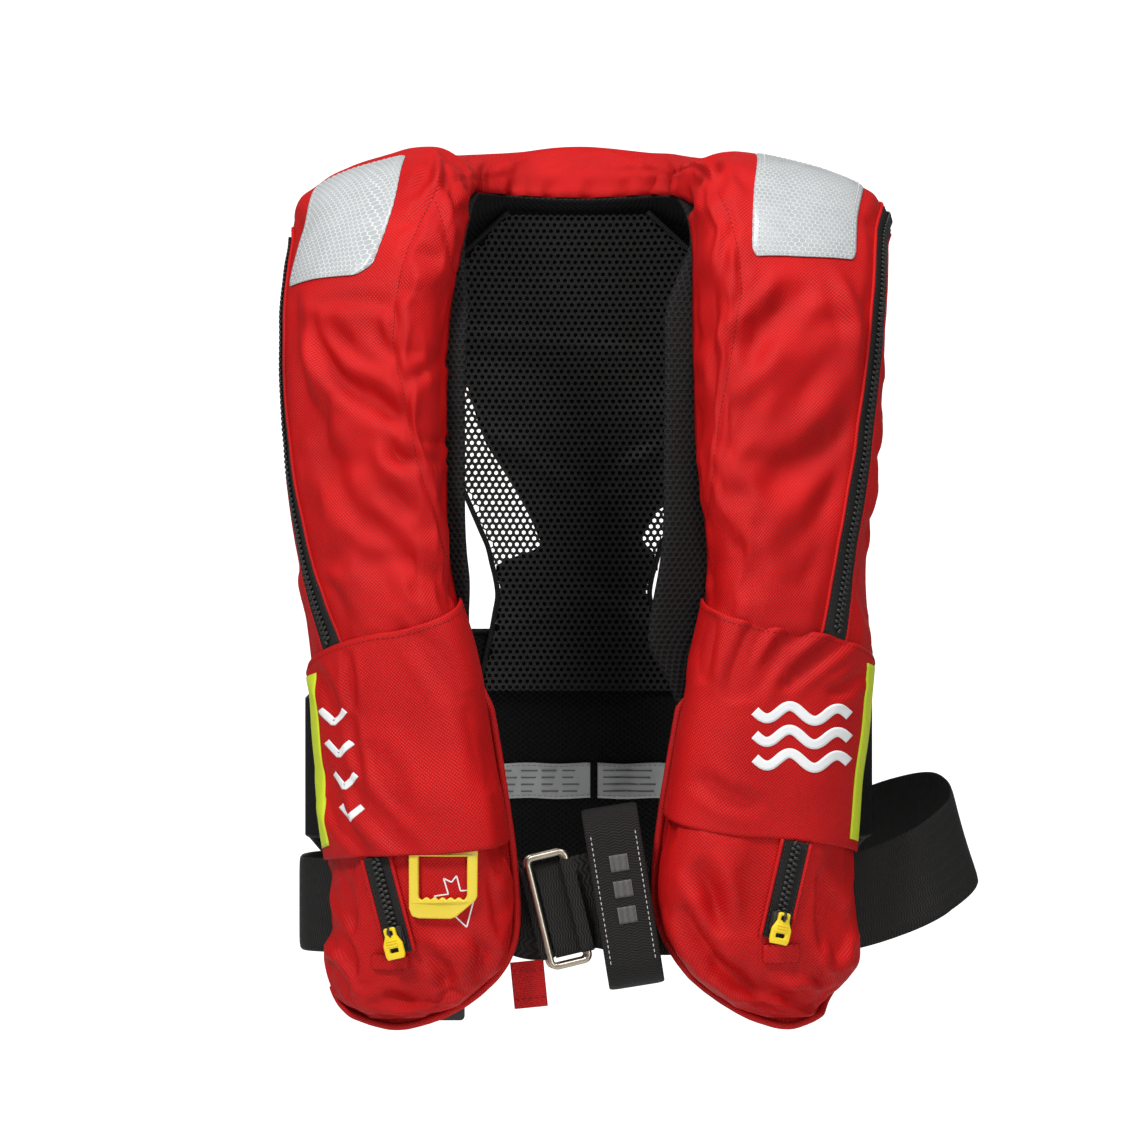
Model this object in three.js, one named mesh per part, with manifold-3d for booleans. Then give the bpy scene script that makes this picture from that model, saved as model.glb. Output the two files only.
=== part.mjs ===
// Inflatable life jacket: two front lobes joined by a collar, worn round the neck and belted at the chest.
// Millimetres. +X to the viewer's right when the front is faced, -Y to the front, +Z up.
// The origin is in the neck opening, where the wearer's neck carries the jacket.
import * as THREE from "three";
import { LoftGeometry } from "three/addons/geometries/LoftGeometry.js";
import { mergeVertices } from "three/addons/utils/BufferGeometryUtils.js";
import Module from "manifold-3d";

// Overall sizes. The pattern below is drawn at `drawn` and graded to these.
const jacketWidth = 327;
const jacketDepth = 255;
const jacketHeight = 470;
const drawn = { width: 327, depth: 255, height: 470 };

// Cloth and clearances.
const gap = 0.4; // between pieces that touch
const layerGap = 0.7; // between a cover and what is sewn over it
const coverThickness = 1.5;
const bandThickness = 1.2;
const liningThickness = 1.4;
const patchThickness = 0.8;
const fullness = 0.7; // how square a lobe's section is: 1 is an ellipse
const mouthLift = 3.9; // how far the left band stands off the lobe over the handle

// Webbing.
const webbingWidth = 50.8;
const webbingThickness = 2.4;
const beltHeight = -373; // height of the belt's centre line at the drawn size

// Buckle.
const bar = 3.4;
const barBevel = 0.9;
const buckleWidth = 24;
const buckleLength = webbingWidth + 2 * bar + 5.4;
const buckleLean = 0.24; // sideways per unit of height
const bucklePitch = 7.5; // between the two frames, front to back

// Zips.
const tapeWidth = 16;
const tapeThickness = 0.8;
const chainWidth = 6.4;
const chainThickness = 1.8;
const lowerZipLength = 46;
const sliderLength = 11;
const sliderWall = 1.8;
const sliderTop = 2;
const pullLength = 17;
const pullWidth = 11;
const pullThickness = 2.2;

// Inflation handle.
const handleWidth = 35;
const handleHeight = 46;
const handleThickness = 3;
const handleRim = 5;
const handleFoot = 9;
const lanyardDiameter = 2.4;

// Inflator, gas cylinder, mouthpiece and whistle, all inside the lobes.
const cylinderDiameter = 30;
const cylinderLength = 122;
const inflatorDiameter = 30;
const inflatorLength = 36;
const inflatorCapLength = 14;
const leverLength = 22;
const leverThickness = 2.2;
const oralTubeDiameter = 14;
const oralTubeLength = 96;
const oralBore = 8;
const oralCapLength = 12;
const manifoldLength = 4.6;
const oralNeckLength = 19.3;

// Edge cord, loops and clips.
const pipingDiameter = 4.4;
const loopWidth = 30;
const loopHeight = 98;
const loopDepth = 31;
const tabWidth = 19;
const tabLength = 25;
const legStrapWidth = 20;
const clipLength = 15;
const clipHole = 7;
const clipThickness = 3;
const clipSlack = 0.85; // between the strap's end and the clip, so that the clip can swing

const grade = new THREE.Vector3(
  jacketWidth / drawn.width,
  jacketDepth / drawn.depth,
  jacketHeight / drawn.height,
);
const at = (x, y, z) => new THREE.Vector3(x, y, z).multiply(grade);

const { clamp, lerp, smoothstep } = THREE.MathUtils;

const wasm = await Module();
wasm.setup();

const colours = {
  red: { color: 0xc8141a, roughness: 0.75, metalness: 0 },
  black: { color: 0x161616, roughness: 0.85, metalness: 0 },
  webbing: { color: 0x1c1c1d, roughness: 0.7, metalness: 0 },
  silver: { color: 0xd2d4d4, roughness: 0.35, metalness: 0 },
  fluoro: { color: 0xc8dc28, roughness: 0.6, metalness: 0 },
  yellow: { color: 0xe6c832, roughness: 0.4, metalness: 0 },
  steel: { color: 0xa09788, roughness: 0.3, metalness: 1 },
  label: { color: 0xbebebe, roughness: 0.7, metalness: 0 },
  bladder: { color: 0xf2a23a, roughness: 0.5, metalness: 0 },
  gas: { color: 0x7f8d8a, roughness: 0.35, metalness: 0.8 },
};

const jacket = new THREE.Group();

function addMesh(name, geometry, finish, place) {
  const mesh = new THREE.Mesh(geometry, new THREE.MeshStandardMaterial(colours[finish]));
  mesh.name = name;
  if (place) {
    mesh.position.copy(place.origin);
    mesh.quaternion.setFromRotationMatrix(new THREE.Matrix4().makeBasis(place.x, place.y, place.z));
  }
  jacket.add(mesh);
  return mesh;
}

// ---- shared makers ----

function signedVolume(geometry) {
  const points = geometry.attributes.position;
  const corner = (i) => new THREE.Vector3().fromBufferAttribute(points, geometry.index.getX(i));
  let six = 0;
  for (let i = 0; i < geometry.index.count; i += 3) {
    six += corner(i).dot(corner(i + 1).cross(corner(i + 2)));
  }
  return six / 6;
}

// A closed loft through rings of an even number of points. Each end is closed by a strip of triangles
// between the first half of its ring and the second, and the faces are turned outwards.
function loft(rings) {
  const skin = new LoftGeometry(rings);
  const perRing = rings[0].length;
  const order = [...skin.index.array];
  const closeEnd = (first, flip) => {
    for (let i = 0; i < perRing / 2 - 1; i++) {
      const [p, q, r, t] = [i, i + 1, perRing - 2 - i, perRing - 1 - i].map((k) => first + k);
      order.push(...(flip ? [p, q, t, q, r, t] : [p, t, q, q, t, r]));
    }
  };
  closeEnd(0, false);
  closeEnd((rings.length - 1) * (perRing + 1), true);
  const solid = new THREE.BufferGeometry();
  solid.setAttribute("position", skin.getAttribute("position"));
  solid.setIndex(order);
  const merged = mergeVertices(solid, 1e-4);
  if (signedVolume(merged) < 0) {
    const faces = merged.index.array;
    for (let i = 0; i < faces.length; i += 3) {
      [faces[i + 1], faces[i + 2]] = [faces[i + 2], faces[i + 1]];
    }
  }
  return merged;
}

function toManifold(geometry) {
  const bare = new THREE.BufferGeometry();
  bare.setAttribute("position", geometry.getAttribute("position"));
  if (geometry.index) bare.setIndex(geometry.index);
  const merged = mergeVertices(bare, 1e-4);
  return new wasm.Manifold(
    new wasm.Mesh({
      numProp: 3,
      vertProperties: new Float32Array(merged.attributes.position.array),
      triVerts: new Uint32Array(merged.index.array),
    }),
  );
}

function fromManifold(solid) {
  const mesh = solid.getMesh();
  const geometry = new THREE.BufferGeometry();
  geometry.setAttribute("position", new THREE.BufferAttribute(mesh.vertProperties, 3));
  geometry.setIndex(new THREE.BufferAttribute(mesh.triVerts, 1));
  return geometry;
}

const even = (t) => t;
const closerAtStart = (t) => t ** 1.7; // steps bunch where the webbing turns round a bar
const closerAtEnd = (t) => 1 - (1 - t) ** 1.7;

// A flat ribbon along a smooth route; widthAt gives the direction of its width from 0 to 1 along it.
function ribbon(route, width, thickness, widthAt, steps, spacing = even) {
  const curve = new THREE.CatmullRomCurve3(route, false, "centripetal");
  curve.arcLengthDivisions = 1000;
  const rings = [];
  for (let i = 0; i <= steps; i++) {
    const s = spacing(i / steps);
    const point = curve.getPointAt(s);
    const along = curve.getTangentAt(s);
    const across = widthAt(s).clone();
    across.addScaledVector(along, -across.dot(along)).normalize().multiplyScalar(width / 2);
    const half = new THREE.Vector3().crossVectors(along, across);
    half.normalize().multiplyScalar(thickness / 2);
    rings.push([
      point.clone().add(across).add(half),
      point.clone().sub(across).add(half),
      point.clone().sub(across).sub(half),
      point.clone().add(across).sub(half),
    ]);
  }
  return loft(rings);
}

function roundedRectangle(width, height, radius, outline = new THREE.Shape()) {
  const x = width / 2;
  const y = height / 2;
  outline.moveTo(-x + radius, -y);
  outline.lineTo(x - radius, -y);
  outline.absarc(x - radius, -y + radius, radius, -Math.PI / 2, 0);
  outline.lineTo(x, y - radius);
  outline.absarc(x - radius, y - radius, radius, 0, Math.PI / 2);
  outline.lineTo(-x + radius, y);
  outline.absarc(-x + radius, y - radius, radius, Math.PI / 2, Math.PI);
  outline.lineTo(-x, -y + radius);
  outline.absarc(-x + radius, -y + radius, radius, Math.PI, 1.5 * Math.PI);
  return outline;
}

const extruded = (shape, depth) =>
  new THREE.ExtrudeGeometry(shape, { depth, bevelEnabled: false, curveSegments: 3 });

function turned(profile, sides = 24) {
  return new THREE.LatheGeometry(profile.map(([r, y]) => new THREE.Vector2(r, y)), sides);
}

// ---- the lobes: one surface that runs up the left lobe, round the collar and down the right ----

// Each station: inner edge, outer edge, how far the lobe stands off them, and which way it stands off.
const forward = [0, -1, 0];
const leftStations = [
  [[-84, -87, -431], [-112, -80, -432], 12, forward],
  [[-62, -84, -420], [-131, -66, -420], 26, forward],
  [[-43, -82, -401], [-137, -60, -401], 36, forward],
  [[-37, -82, -375], [-134, -56, -375], 44, forward],
  [[-42, -84, -322], [-139, -54, -322], 48, forward],
  [[-55, -86, -245], [-145, -52, -245], 48, forward],
  [[-69, -86, -190], [-152, -50, -190], 46, forward],
  [[-71, -82, -125], [-159, -46, -125], 44, forward],
  [[-70, -72, -60], [-161, -40, -60], 42, [0, -1, 0.1]],
  [[-62, -52, -10], [-158, -18, -22], 38, [0, -0.88, 0.47]],
  [[-57, -12, 14], [-153, 6, -12], 34, [-0.15, -0.25, 0.95]],
  [[-52, 28, 18], [-128, 62, -18], 36, [-0.2, 0.1, 0.97]],
  [[-34, 50, 18], [-78, 106, -28], 42, [-0.08, 0.18, 0.97]],
];
const collarStation = [[0, 56, 17], [0, 118, -30], 46, [0, 0.2, 0.98]];
const rightStations = [
  [[100, -87, -431], [124, -81, -431], 12, forward],
  [[79, -84, -420], [133, -68, -420], 26, forward],
  [[58, -82, -402], [150, -60, -402], 36, forward],
  [[44, -82, -372], [148, -56, -372], 44, forward],
  [[47, -84, -322], [149, -54, -322], 48, forward],
  [[60, -86, -245], [157, -52, -245], 48, forward],
  [[68, -86, -190], [155, -50, -190], 46, forward],
  [[62, -82, -125], [161, -46, -125], 44, forward],
  [[61, -72, -60], [166, -40, -60], 42, [0, -1, 0.1]],
  [[60, -52, -10], [168, -18, -22], 38, [0, -0.88, 0.47]],
  [[55, -12, 12], [166, 6, -12], 34, [0.15, -0.25, 0.95]],
  [[48, 28, 17], [134, 62, -18], 36, [0.2, 0.1, 0.97]],
  [[32, 50, 18], [80, 106, -28], 42, [0.08, 0.18, 0.97]],
];
const stations = [...leftStations, collarStation, ...rightStations.toReversed()];
const lastStation = stations.length - 1;
const collarCentre = leftStations.length;

const through = (list) => new THREE.CatmullRomCurve3(list, false, "catmullrom", 0.5);
const innerEdge = through(stations.map((s) => at(...s[0])));
const outerEdge = through(stations.map((s) => at(...s[1])));
const standoff = through(stations.map((s) => new THREE.Vector3(s[2] * grade.y, 0, 0)));
const upward = through(stations.map((s) => new THREE.Vector3(...s[3])));

// u counts stations; a runs from the inner edge, 0, to the outer edge, 1; h from the lining to the cover.
function lobe(u, a, h = 1) {
  const t = clamp(u / lastStation, 0, 1);
  const cosine = Math.cos(Math.PI * a);
  const across = 0.5 - 0.5 * Math.sign(cosine) * Math.abs(cosine) ** fullness;
  const rise = h * standoff.getPoint(t).x * Math.sin(Math.PI * a) ** fullness;
  const point = innerEdge.getPoint(t).lerp(outerEdge.getPoint(t), across);
  return point.addScaledVector(upward.getPoint(t).normalize(), rise);
}

// The directions on the surface at a point: along it, across it, and out of it.
function lobeAxes(u, a, h = 1) {
  const step = 0.004;
  const inside = clamp(a, 2 * step, 1 - 2 * step);
  const low = clamp(u - step, 0, lastStation - 2 * step);
  const along = lobe(low + 2 * step, inside, h).sub(lobe(low, inside, h)).normalize();
  const across = lobe(u, inside + step, h).sub(lobe(u, inside - step, h)).normalize();
  const out = new THREE.Vector3().crossVectors(along, across).normalize();
  return { along, across, out };
}

const lifted = (u, a, lift) => lobe(u, a).addScaledVector(lobeAxes(u, a).out, lift);

// Where the cover's front shows a given point of the front view, as [u, a].
function spot(side, x, z) {
  const target = at(x, 0, z);
  let low = side === "left" ? 0 : lastStation;
  let high = side === "left" ? collarCentre - 2.8 : collarCentre + 2.8;
  const share = (u) => {
    const inner = innerEdge.getPoint(u / lastStation).x;
    const outer = outerEdge.getPoint(u / lastStation).x;
    const across = clamp((target.x - inner) / (outer - inner), 0.001, 0.999);
    const cosine = Math.sign(1 - 2 * across) * Math.abs(1 - 2 * across) ** (1 / fullness);
    return Math.acos(cosine) / Math.PI;
  };
  for (let i = 0; i < 40; i++) {
    const middle = (low + high) / 2;
    if (lobe(middle, share(middle)).z < target.z) low = middle;
    else high = middle;
  }
  return [low, share(low)];
}

// Rows that every layer of the lobes shares, so that layers of flat facets stay clear of each other.
function sharedRows(from, to) {
  const rows = [from];
  const coarse = 0.5;
  const fine = 0.25;
  for (let u = 0; u <= lastStation; u += Math.abs(u - collarCentre) < 4 ? fine : coarse) {
    if (u > from + 0.05 && u < to - 0.05) rows.push(u);
  }
  return [...rows, to];
}

// A closed cloth panel on the lobes: rows of [u, a] points, set off by lift and thickened outwards.
function clothPanel(rows, lift, thickness) {
  const rings = rows.map((row) => {
    const top = row.map(([u, a]) => lifted(u, a, lift(u, a) + thickness));
    const under = row.map(([u, a]) => lifted(u, a, lift(u, a)));
    return [...top, ...under.reverse()];
  });
  return loft(rings);
}

const spread = (count) => Array.from({ length: count + 1 }, (_, i) => i / count);

function coverRows(from, to, columns = 10) {
  return sharedRows(from, to).map((u) => spread(columns).map((a) => [u, a]));
}

// Rows between four corners in [u, a]: start inner, start outer, end inner, end outer.
function patchRows([startInner, startOuter, endInner, endOuter], rowCount, columns) {
  const between = (p, q, t) => [lerp(p[0], q[0], t), lerp(p[1], q[1], t)];
  return spread(rowCount).map((r) =>
    spread(columns).map((c) =>
      between(between(startInner, startOuter, c), between(endInner, endOuter, c), r),
    ),
  );
}

// Station numbers where the covers meet; a lobe counts from its foot.
const footStation = 0.05;
const coverMeet = 4.15; // lower cover to upper cover, under the band
const coverSlot = 0.09; // the slot there, where the lanyard goes in
const collarMeet = 11;
const seamSlot = 0.012;

const fromFoot = (side, t) => (side === "left" ? t : lastStation - t);
const ordered = (side, low, high) =>
  [fromFoot(side, low), fromFoot(side, high)].sort((p, q) => p - q);

function addCovers(side) {
  const flat = () => -coverThickness;
  const lower = coverRows(...ordered(side, footStation, coverMeet - coverSlot));
  const upper = coverRows(...ordered(side, coverMeet + coverSlot, collarMeet - seamSlot));
  addMesh("cover_lower_" + side, clothPanel(lower, flat, coverThickness), "red");
  addMesh("cover_upper_" + side, clothPanel(upper, flat, coverThickness), "red");
}

function addCollar() {
  const rows = coverRows(collarMeet + seamSlot, lastStation - collarMeet - seamSlot);
  addMesh("collar_cover", clothPanel(rows, () => -coverThickness, coverThickness), "red");
}

// The band over the middle of each lobe. The left one lifts at its mouth to take the handle.
const bandInset = 0.06;
const bandFoot = { left: { inner: 3.77, outer: 3.57 }, right: { inner: 4, outer: 3.62 } };
const bandHead = { left: { inner: 5.7, outer: 5 }, right: { inner: 5.7, outer: 5.08 } };

function bandLift(side, u, a) {
  const t = side === "left" ? u : lastStation - u;
  const mouth = 1 - smoothstep(t, 4.05, 4.75);
  const window = smoothstep(a, 0.14, 0.26) * (1 - smoothstep(a, 0.54, 0.68));
  return layerGap + (side === "left" ? mouthLift * mouth * window : 0);
}

function addBand(side) {
  const foot = bandFoot[side];
  const head = bandHead[side];
  const corners = [
    [fromFoot(side, foot.inner), bandInset],
    [fromFoot(side, foot.outer), 1 - bandInset],
    [fromFoot(side, head.inner), bandInset],
    [fromFoot(side, head.outer), 1 - bandInset],
  ];
  const rows = patchRows(corners, 10, 14);
  const lift = (u, a) => bandLift(side, u, a);
  addMesh("band_" + side, clothPanel(rows, lift, bandThickness), "red");
  const strip = [
    [fromFoot(side, foot.outer + 0.16), 0.86],
    [fromFoot(side, foot.outer + 0.12), 0.93],
    [fromFoot(side, head.outer - 0.02), 0.86],
    [fromFoot(side, head.outer - 0.06), 0.93],
  ];
  const over = () => layerGap + bandThickness + gap;
  addMesh("fluoro_strip_" + side, clothPanel(patchRows(strip, 6, 3), over, patchThickness), "fluoro");
}

// The lining behind each lobe, which shows past the inner edge as a strip of black mesh.
const liningStrip = { left: 10, right: 16 };
const liningInset = coverThickness + gap + 0.3; // keeps its outer edge inside the cover

function addLining(name, from, to, strip) {
  const rings = sharedRows(from, to).map((u) => {
    const t = Math.min(u, lastStation - u);
    const inner = lobe(u, 0, 0);
    const outer = lobe(u, 1, 0);
    const reach = smoothstep(t, 5.2, 6) * (1 - smoothstep(t, 8, 9));
    const outwards = inner.clone().sub(outer).normalize();
    inner.addScaledVector(outwards, reach * strip);
    outer.addScaledVector(outwards, liningInset);
    const back = upward.getPoint(u / lastStation).normalize().negate();
    const row = spread(4).map((s) => inner.clone().lerp(outer, s).addScaledVector(back, gap));
    const rear = row.map((p) => p.clone().addScaledVector(back, liningThickness));
    return [...row, ...rear.reverse()];
  });
  addMesh(name, loft(rings), "black");
}

function addLinings() {
  const side = (name) => ordered(name, 0.3, collarMeet - seamSlot);
  addLining("lining_left", ...side("left"), liningStrip.left);
  addLining("lining_right", ...side("right"), liningStrip.right);
  addLining("lining_collar", collarMeet + seamSlot, lastStation - collarMeet - seamSlot, 0);
}

// The buoyancy bladder, folded flat along both lobes and round the collar.
const bladderSides = 8;

function addBladder() {
  const narrow = 0.5;
  const wide = 0.17;
  const outer = 0.83;
  const rings = sharedRows(1.1, lastStation - 1.1).map((u) => {
    const t = Math.min(u, lastStation - u);
    const start = lerp(narrow, wide, smoothstep(t, 7, 8));
    const middle = (start + outer) / 2;
    const half = (outer - start) / 2;
    return Array.from({ length: bladderSides }, (_, k) => {
      const angle = (2 * Math.PI * k) / bladderSides;
      return lobe(u, middle + half * Math.cos(angle), 0.47 + 0.31 * Math.sin(angle));
    });
  });
  addMesh("bladder", loft(rings), "bladder");
}

// Red edge cord down each inner edge and round the foot of the lobe.
function addPiping(side) {
  const reach = pipingDiameter / 2 + gap + 0.7;
  const edgePoint = (t, a) => {
    const u = fromFoot(side, t);
    const along = lobe(u + 0.04, a, 0).sub(lobe(u - 0.04, a, 0));
    const aside = new THREE.Vector3().crossVectors(along, upward.getPoint(u / lastStation)).normalize();
    const point = lobe(u, a, 0);
    const away = point.clone().sub(lobe(u, 1 - a, 0)).dot(aside) > 0 ? reach : -reach;
    return point.addScaledVector(aside, away);
  };
  const foot = lobe(fromFoot(side, 0), 0.5, 0).add(new THREE.Vector3(0, 0, -reach - coverThickness));
  const route = [
    ...[4.9, 4.5, 4, 3.5, 3, 2.6, 2.2, 1.8, 1.4, 1, 0.6, 0.3].map((t) => edgePoint(t, 0)),
    foot,
    ...[0.3, 0.6, 1, 1.3].map((t) => edgePoint(t, 1)),
  ];
  const sides = 8;
  const ring = spread(sides - 1).map((_, k) => (2 * Math.PI * k) / sides);
  const section = new THREE.Shape(
    ring.map((k) => new THREE.Vector2(Math.cos(k), Math.sin(k)).multiplyScalar(pipingDiameter / 2)),
  );
  const extrudePath = new THREE.CatmullRomCurve3(route, false, "centripetal");
  addMesh("piping_" + side, new THREE.ExtrudeGeometry(section, { steps: 40, extrudePath }), "red");
}

// Shoulder reflectors: corners in the front view, lower inner, lower outer, upper inner, upper outer.
const reflectorCorners = {
  left: [[8.35, 0.5], [8.4, 0.86], [10.1, 0.42], [9.9, 0.7]],
  right: [[8.95, 0.41], [9, 0.68], [10.4, 0.43], [10.3, 0.7]],
};

function addReflector(side) {
  const corners = reflectorCorners[side].map(([t, a]) => [fromFoot(side, t), a]);
  const panel = clothPanel(patchRows(corners, 10, 7), () => layerGap, patchThickness);
  addMesh("reflective_patch_" + side, panel, "silver");
}

// ---- zips ----

// A strip that follows a route of [t, a] points over the cover.
function surfaceStrip(side, route, width, lift, thickness, steps) {
  const curve = through(route.map(([t, a]) => new THREE.Vector3(fromFoot(side, t), a, 0)));
  const point = (s) => curve.getPoint(clamp(s, 0, 1));
  const onCover = (s) => lobe(point(s).x, point(s).y);
  const rings = spread(steps).map((s) => {
    const { out } = lobeAxes(point(s).x, point(s).y);
    const along = onCover(s + 0.01).sub(onCover(s - 0.01)).normalize();
    const across = new THREE.Vector3().crossVectors(out, along).normalize();
    const corner = (w, l) =>
      onCover(s).addScaledVector(across, (w * width) / 2).addScaledVector(out, l);
    return [
      corner(-1, lift),
      corner(1, lift),
      corner(1, lift + thickness),
      corner(-1, lift + thickness),
    ];
  });
  return loft(rings);
}

const upperZipRoutes = {
  left: [[9.3, 0.96], [8.2, 0.95], [7.4, 0.93], [6.7, 0.88], [6, 0.8], [5.45, 0.73]],
  right: [[10, 0.9], [9.3, 0.88], [8.2, 0.84], [7.4, 0.8], [6.7, 0.76], [6, 0.7], [5.45, 0.65]],
};

function addUpperZip(side) {
  const route = upperZipRoutes[side];
  const tape = surfaceStrip(side, route, tapeWidth, layerGap, tapeThickness, 22);
  const chainLift = layerGap + tapeThickness + gap;
  const chain = surfaceStrip(side, route, chainWidth, chainLift, chainThickness, 22);
  addMesh("zip_tape_upper_" + side, tape, "black");
  addMesh("zip_chain_upper_" + side, chain, "black");
}

// The straight lower zip: its frame has y up the zip, z out of the cover and x across.
const lowerZip = {
  left: { middle: [-101.5, -370], up: [-0.243, 0, 0.97], lift: 0.7 },
  right: { middle: [109, -362], up: [0.215, 0, 0.977], lift: 0.45 },
};

function flatFrame(side, [x, z], up, lift) {
  const [u, a] = spot(side, x, z);
  const { out } = lobeAxes(u, a);
  const y = new THREE.Vector3(...up);
  y.addScaledVector(out, -y.dot(out)).normalize();
  return {
    origin: lobe(u, a).addScaledVector(out, lift),
    x: new THREE.Vector3().crossVectors(y, out),
    y,
    z: out.clone(),
  };
}

function shifted(place, x, y, z) {
  const origin = place.origin.clone();
  origin.addScaledVector(place.x, x).addScaledVector(place.y, y).addScaledVector(place.z, z);
  return { ...place, origin };
}

const joints = {};
const mounts = {};

function addLowerZip(side) {
  const { middle, up, lift } = lowerZip[side];
  const place = flatFrame(side, middle, up, lift);
  const tape = extruded(roundedRectangle(tapeWidth, lowerZipLength, 1.5), tapeThickness);
  addMesh("zip_tape_lower_" + side, tape, "black", place);
  const chainBase = tapeThickness + gap;
  const chain = extruded(roundedRectangle(chainWidth, lowerZipLength - 2, 0.6), chainThickness);
  addMesh("zip_chain_lower_" + side, chain, "black", shifted(place, 0, 0, chainBase));

  const sliderY = -lowerZipLength / 2 + sliderLength / 2 + 1;
  const inner = chainWidth / 2 + gap;
  const outer = inner + sliderWall;
  const roof = chainThickness + gap;
  const profile = new THREE.Shape([
    new THREE.Vector2(-outer, 0),
    new THREE.Vector2(-inner, 0),
    new THREE.Vector2(-inner, roof),
    new THREE.Vector2(inner, roof),
    new THREE.Vector2(inner, 0),
    new THREE.Vector2(outer, 0),
    new THREE.Vector2(outer - 0.8, roof + sliderTop),
    new THREE.Vector2(-outer + 0.8, roof + sliderTop),
  ]);
  const sliderBody = extruded(profile, sliderLength);
  sliderBody.rotateX(Math.PI / 2);
  const sliderPlace = shifted(place, 0, sliderY + sliderLength / 2, chainBase);
  addMesh("zip_slider_" + side, sliderBody, "black", sliderPlace);

  const pullOutline = roundedRectangle(pullWidth, pullLength, 2.5);
  pullOutline.holes.push(roundedRectangle(5, 3, 0.8, new THREE.Path()));
  const pull = extruded(pullOutline, pullThickness);
  const hingeY = sliderY + sliderLength / 2 - 1;
  const pullBase = chainBase + roof + sliderTop + gap;
  const pullPlace = shifted(place, 0, hingeY - pullLength / 2 + 1, pullBase);
  addMesh("zip_pull_" + side, pull, "yellow", pullPlace);

  joints["zip_slide_" + side] = { axis: place.y };
  const hinge = shifted(place, 0, hingeY, pullBase + pullThickness / 2).origin;
  joints["zip_pull_turn_" + side] = { pos: hinge, axis: place.x.clone().negate() };
}

// The small pocket below each lower zip that the pull parks against.
const garageSpots = {
  left: [[-110, -401.5], [-90, -401.5], [-111, -396], [-91, -396]],
  right: [[96, -397.5], [116, -397.5], [97, -390.5], [117, -390.5]],
};

function addGarage(side) {
  const [p, q, r, s] = garageSpots[side].map(([x, z]) => spot(side, x, z));
  const corners = side === "left" ? [q, p, s, r] : [p, q, r, s];
  const panel = clothPanel(patchRows(corners, 3, 4), () => layerGap, 2.4);
  addMesh("zip_garage_" + side, panel, "red");
}

// ---- inflation handle ----

const handleTop = -330; // tucked under the band's mouth
const handleMiddle = -72.5;

function handleCorners(left, right, bottom, top) {
  const corner = (x, z) => spot("left", x / grade.x, z / grade.z);
  return [corner(right, bottom), corner(left, bottom), corner(right, top), corner(left, top)];
}

function addHandle() {
  const middle = handleMiddle * grade.x;
  const top = handleTop * grade.z;
  const left = middle - handleWidth / 2;
  const right = middle + handleWidth / 2;
  const bottom = top - handleHeight;
  const lift = () => layerGap;
  const outline = handleCorners(left, right, bottom, top);
  const plate = clothPanel(patchRows(outline, 8, 6), lift, handleThickness);
  const eye = handleCorners(
    left + handleRim,
    right - handleRim,
    bottom + handleFoot,
    top - handleFoot - 4,
  );
  const cutter = clothPanel(patchRows(eye, 4, 4), () => -4, handleThickness + 12);
  const handle = toManifold(plate).subtract(toManifold(cutter));
  addMesh("inflation_handle", fromManifold(handle), "yellow");

  const [uLow, aLow] = spot("left", handleMiddle, handleTop);
  const { out, along } = lobeAxes(uLow, aLow);
  const start = lifted(uLow, aLow, layerGap + handleThickness / 2).addScaledVector(along, gap);
  const end = start.clone().addScaledVector(along, 17 * grade.z);
  const upDown = () => new THREE.Vector3().crossVectors(out, along);
  const cord = ribbon([start, end], lanyardDiameter, lanyardDiameter, upDown, 2);
  addMesh("handle_lanyard", cord, "yellow");
  joints.handle_pull = { axis: along.clone().negate() };
}

// ---- inflator and gas cylinder in the left lobe ----

function axisFrame(foot, head) {
  const y = head.clone().sub(foot).normalize();
  const z = new THREE.Vector3(0, -1, 0);
  z.addScaledVector(y, -z.dot(y)).normalize();
  return { origin: foot.clone(), x: new THREE.Vector3().crossVectors(y, z), y, z };
}

function addInflator() {
  const foot = lobe(3.55, 0.4, 0.47);
  const head = lobe(6.5, 0.4, 0.47);
  const place = axisFrame(foot, head);
  const r = inflatorDiameter / 2;
  const cap = turned([[0, 0], [r - 2, 0], [r, 2], [r, inflatorCapLength], [0, inflatorCapLength]]);
  addMesh("inflator_cap", cap, "yellow", place);
  const bodyPlace = shifted(place, 0, inflatorCapLength + gap, 0);
  const shoulder = inflatorLength - 5;
  const body = turned([[0, 0], [r, 0], [r, shoulder], [r - 3, inflatorLength], [0, inflatorLength]]);
  addMesh("inflator_body", body, "black", bodyPlace);
  const gas = shifted(bodyPlace, 0, inflatorLength + gap, 0);
  const c = cylinderDiameter / 2;
  const neck = 8;
  const outline = [
    [0, 0],
    [neck, 0],
    [neck, 8],
    [c - 3, 14],
    [c, 20],
    [c, cylinderLength - 8],
    [c - 7, cylinderLength],
    [0, cylinderLength],
  ];
  addMesh("gas_cylinder", turned(outline), "gas", gas);

  const lever = roundedRectangle(6, leverLength, 2.8);
  const pivotUp = inflatorLength * 0.45;
  const front = r + gap;
  const leverPlace = shifted(bodyPlace, 0, pivotUp + leverLength / 2 - 3, front);
  addMesh("inflator_lever", extruded(lever, leverThickness), "yellow", leverPlace);
  joints.lever_turn = { pos: shifted(bodyPlace, 0, pivotUp, front).origin, axis: place.z };

  addNeck("manifold_neck", bodyPlace, -1, r, inflatorLength * 0.55, 5, manifoldLength);
}

// A short gas-tight neck out of the side of a tube, which seats it on the bladder.
function addNeck(name, place, direction, fromAxis, height, radius, length) {
  const neck = turned([[0, 0], [radius, 0], [radius, length], [0, length]], 16);
  const { origin } = shifted(place, direction * (fromAxis + gap), height, 0);
  const y = place.x.clone().multiplyScalar(direction);
  const x = new THREE.Vector3().crossVectors(y, place.z);
  addMesh(name, neck, "black", { origin, x, y, z: place.z });
}

// ---- mouth inflation tube and whistle in the right lobe ----

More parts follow.
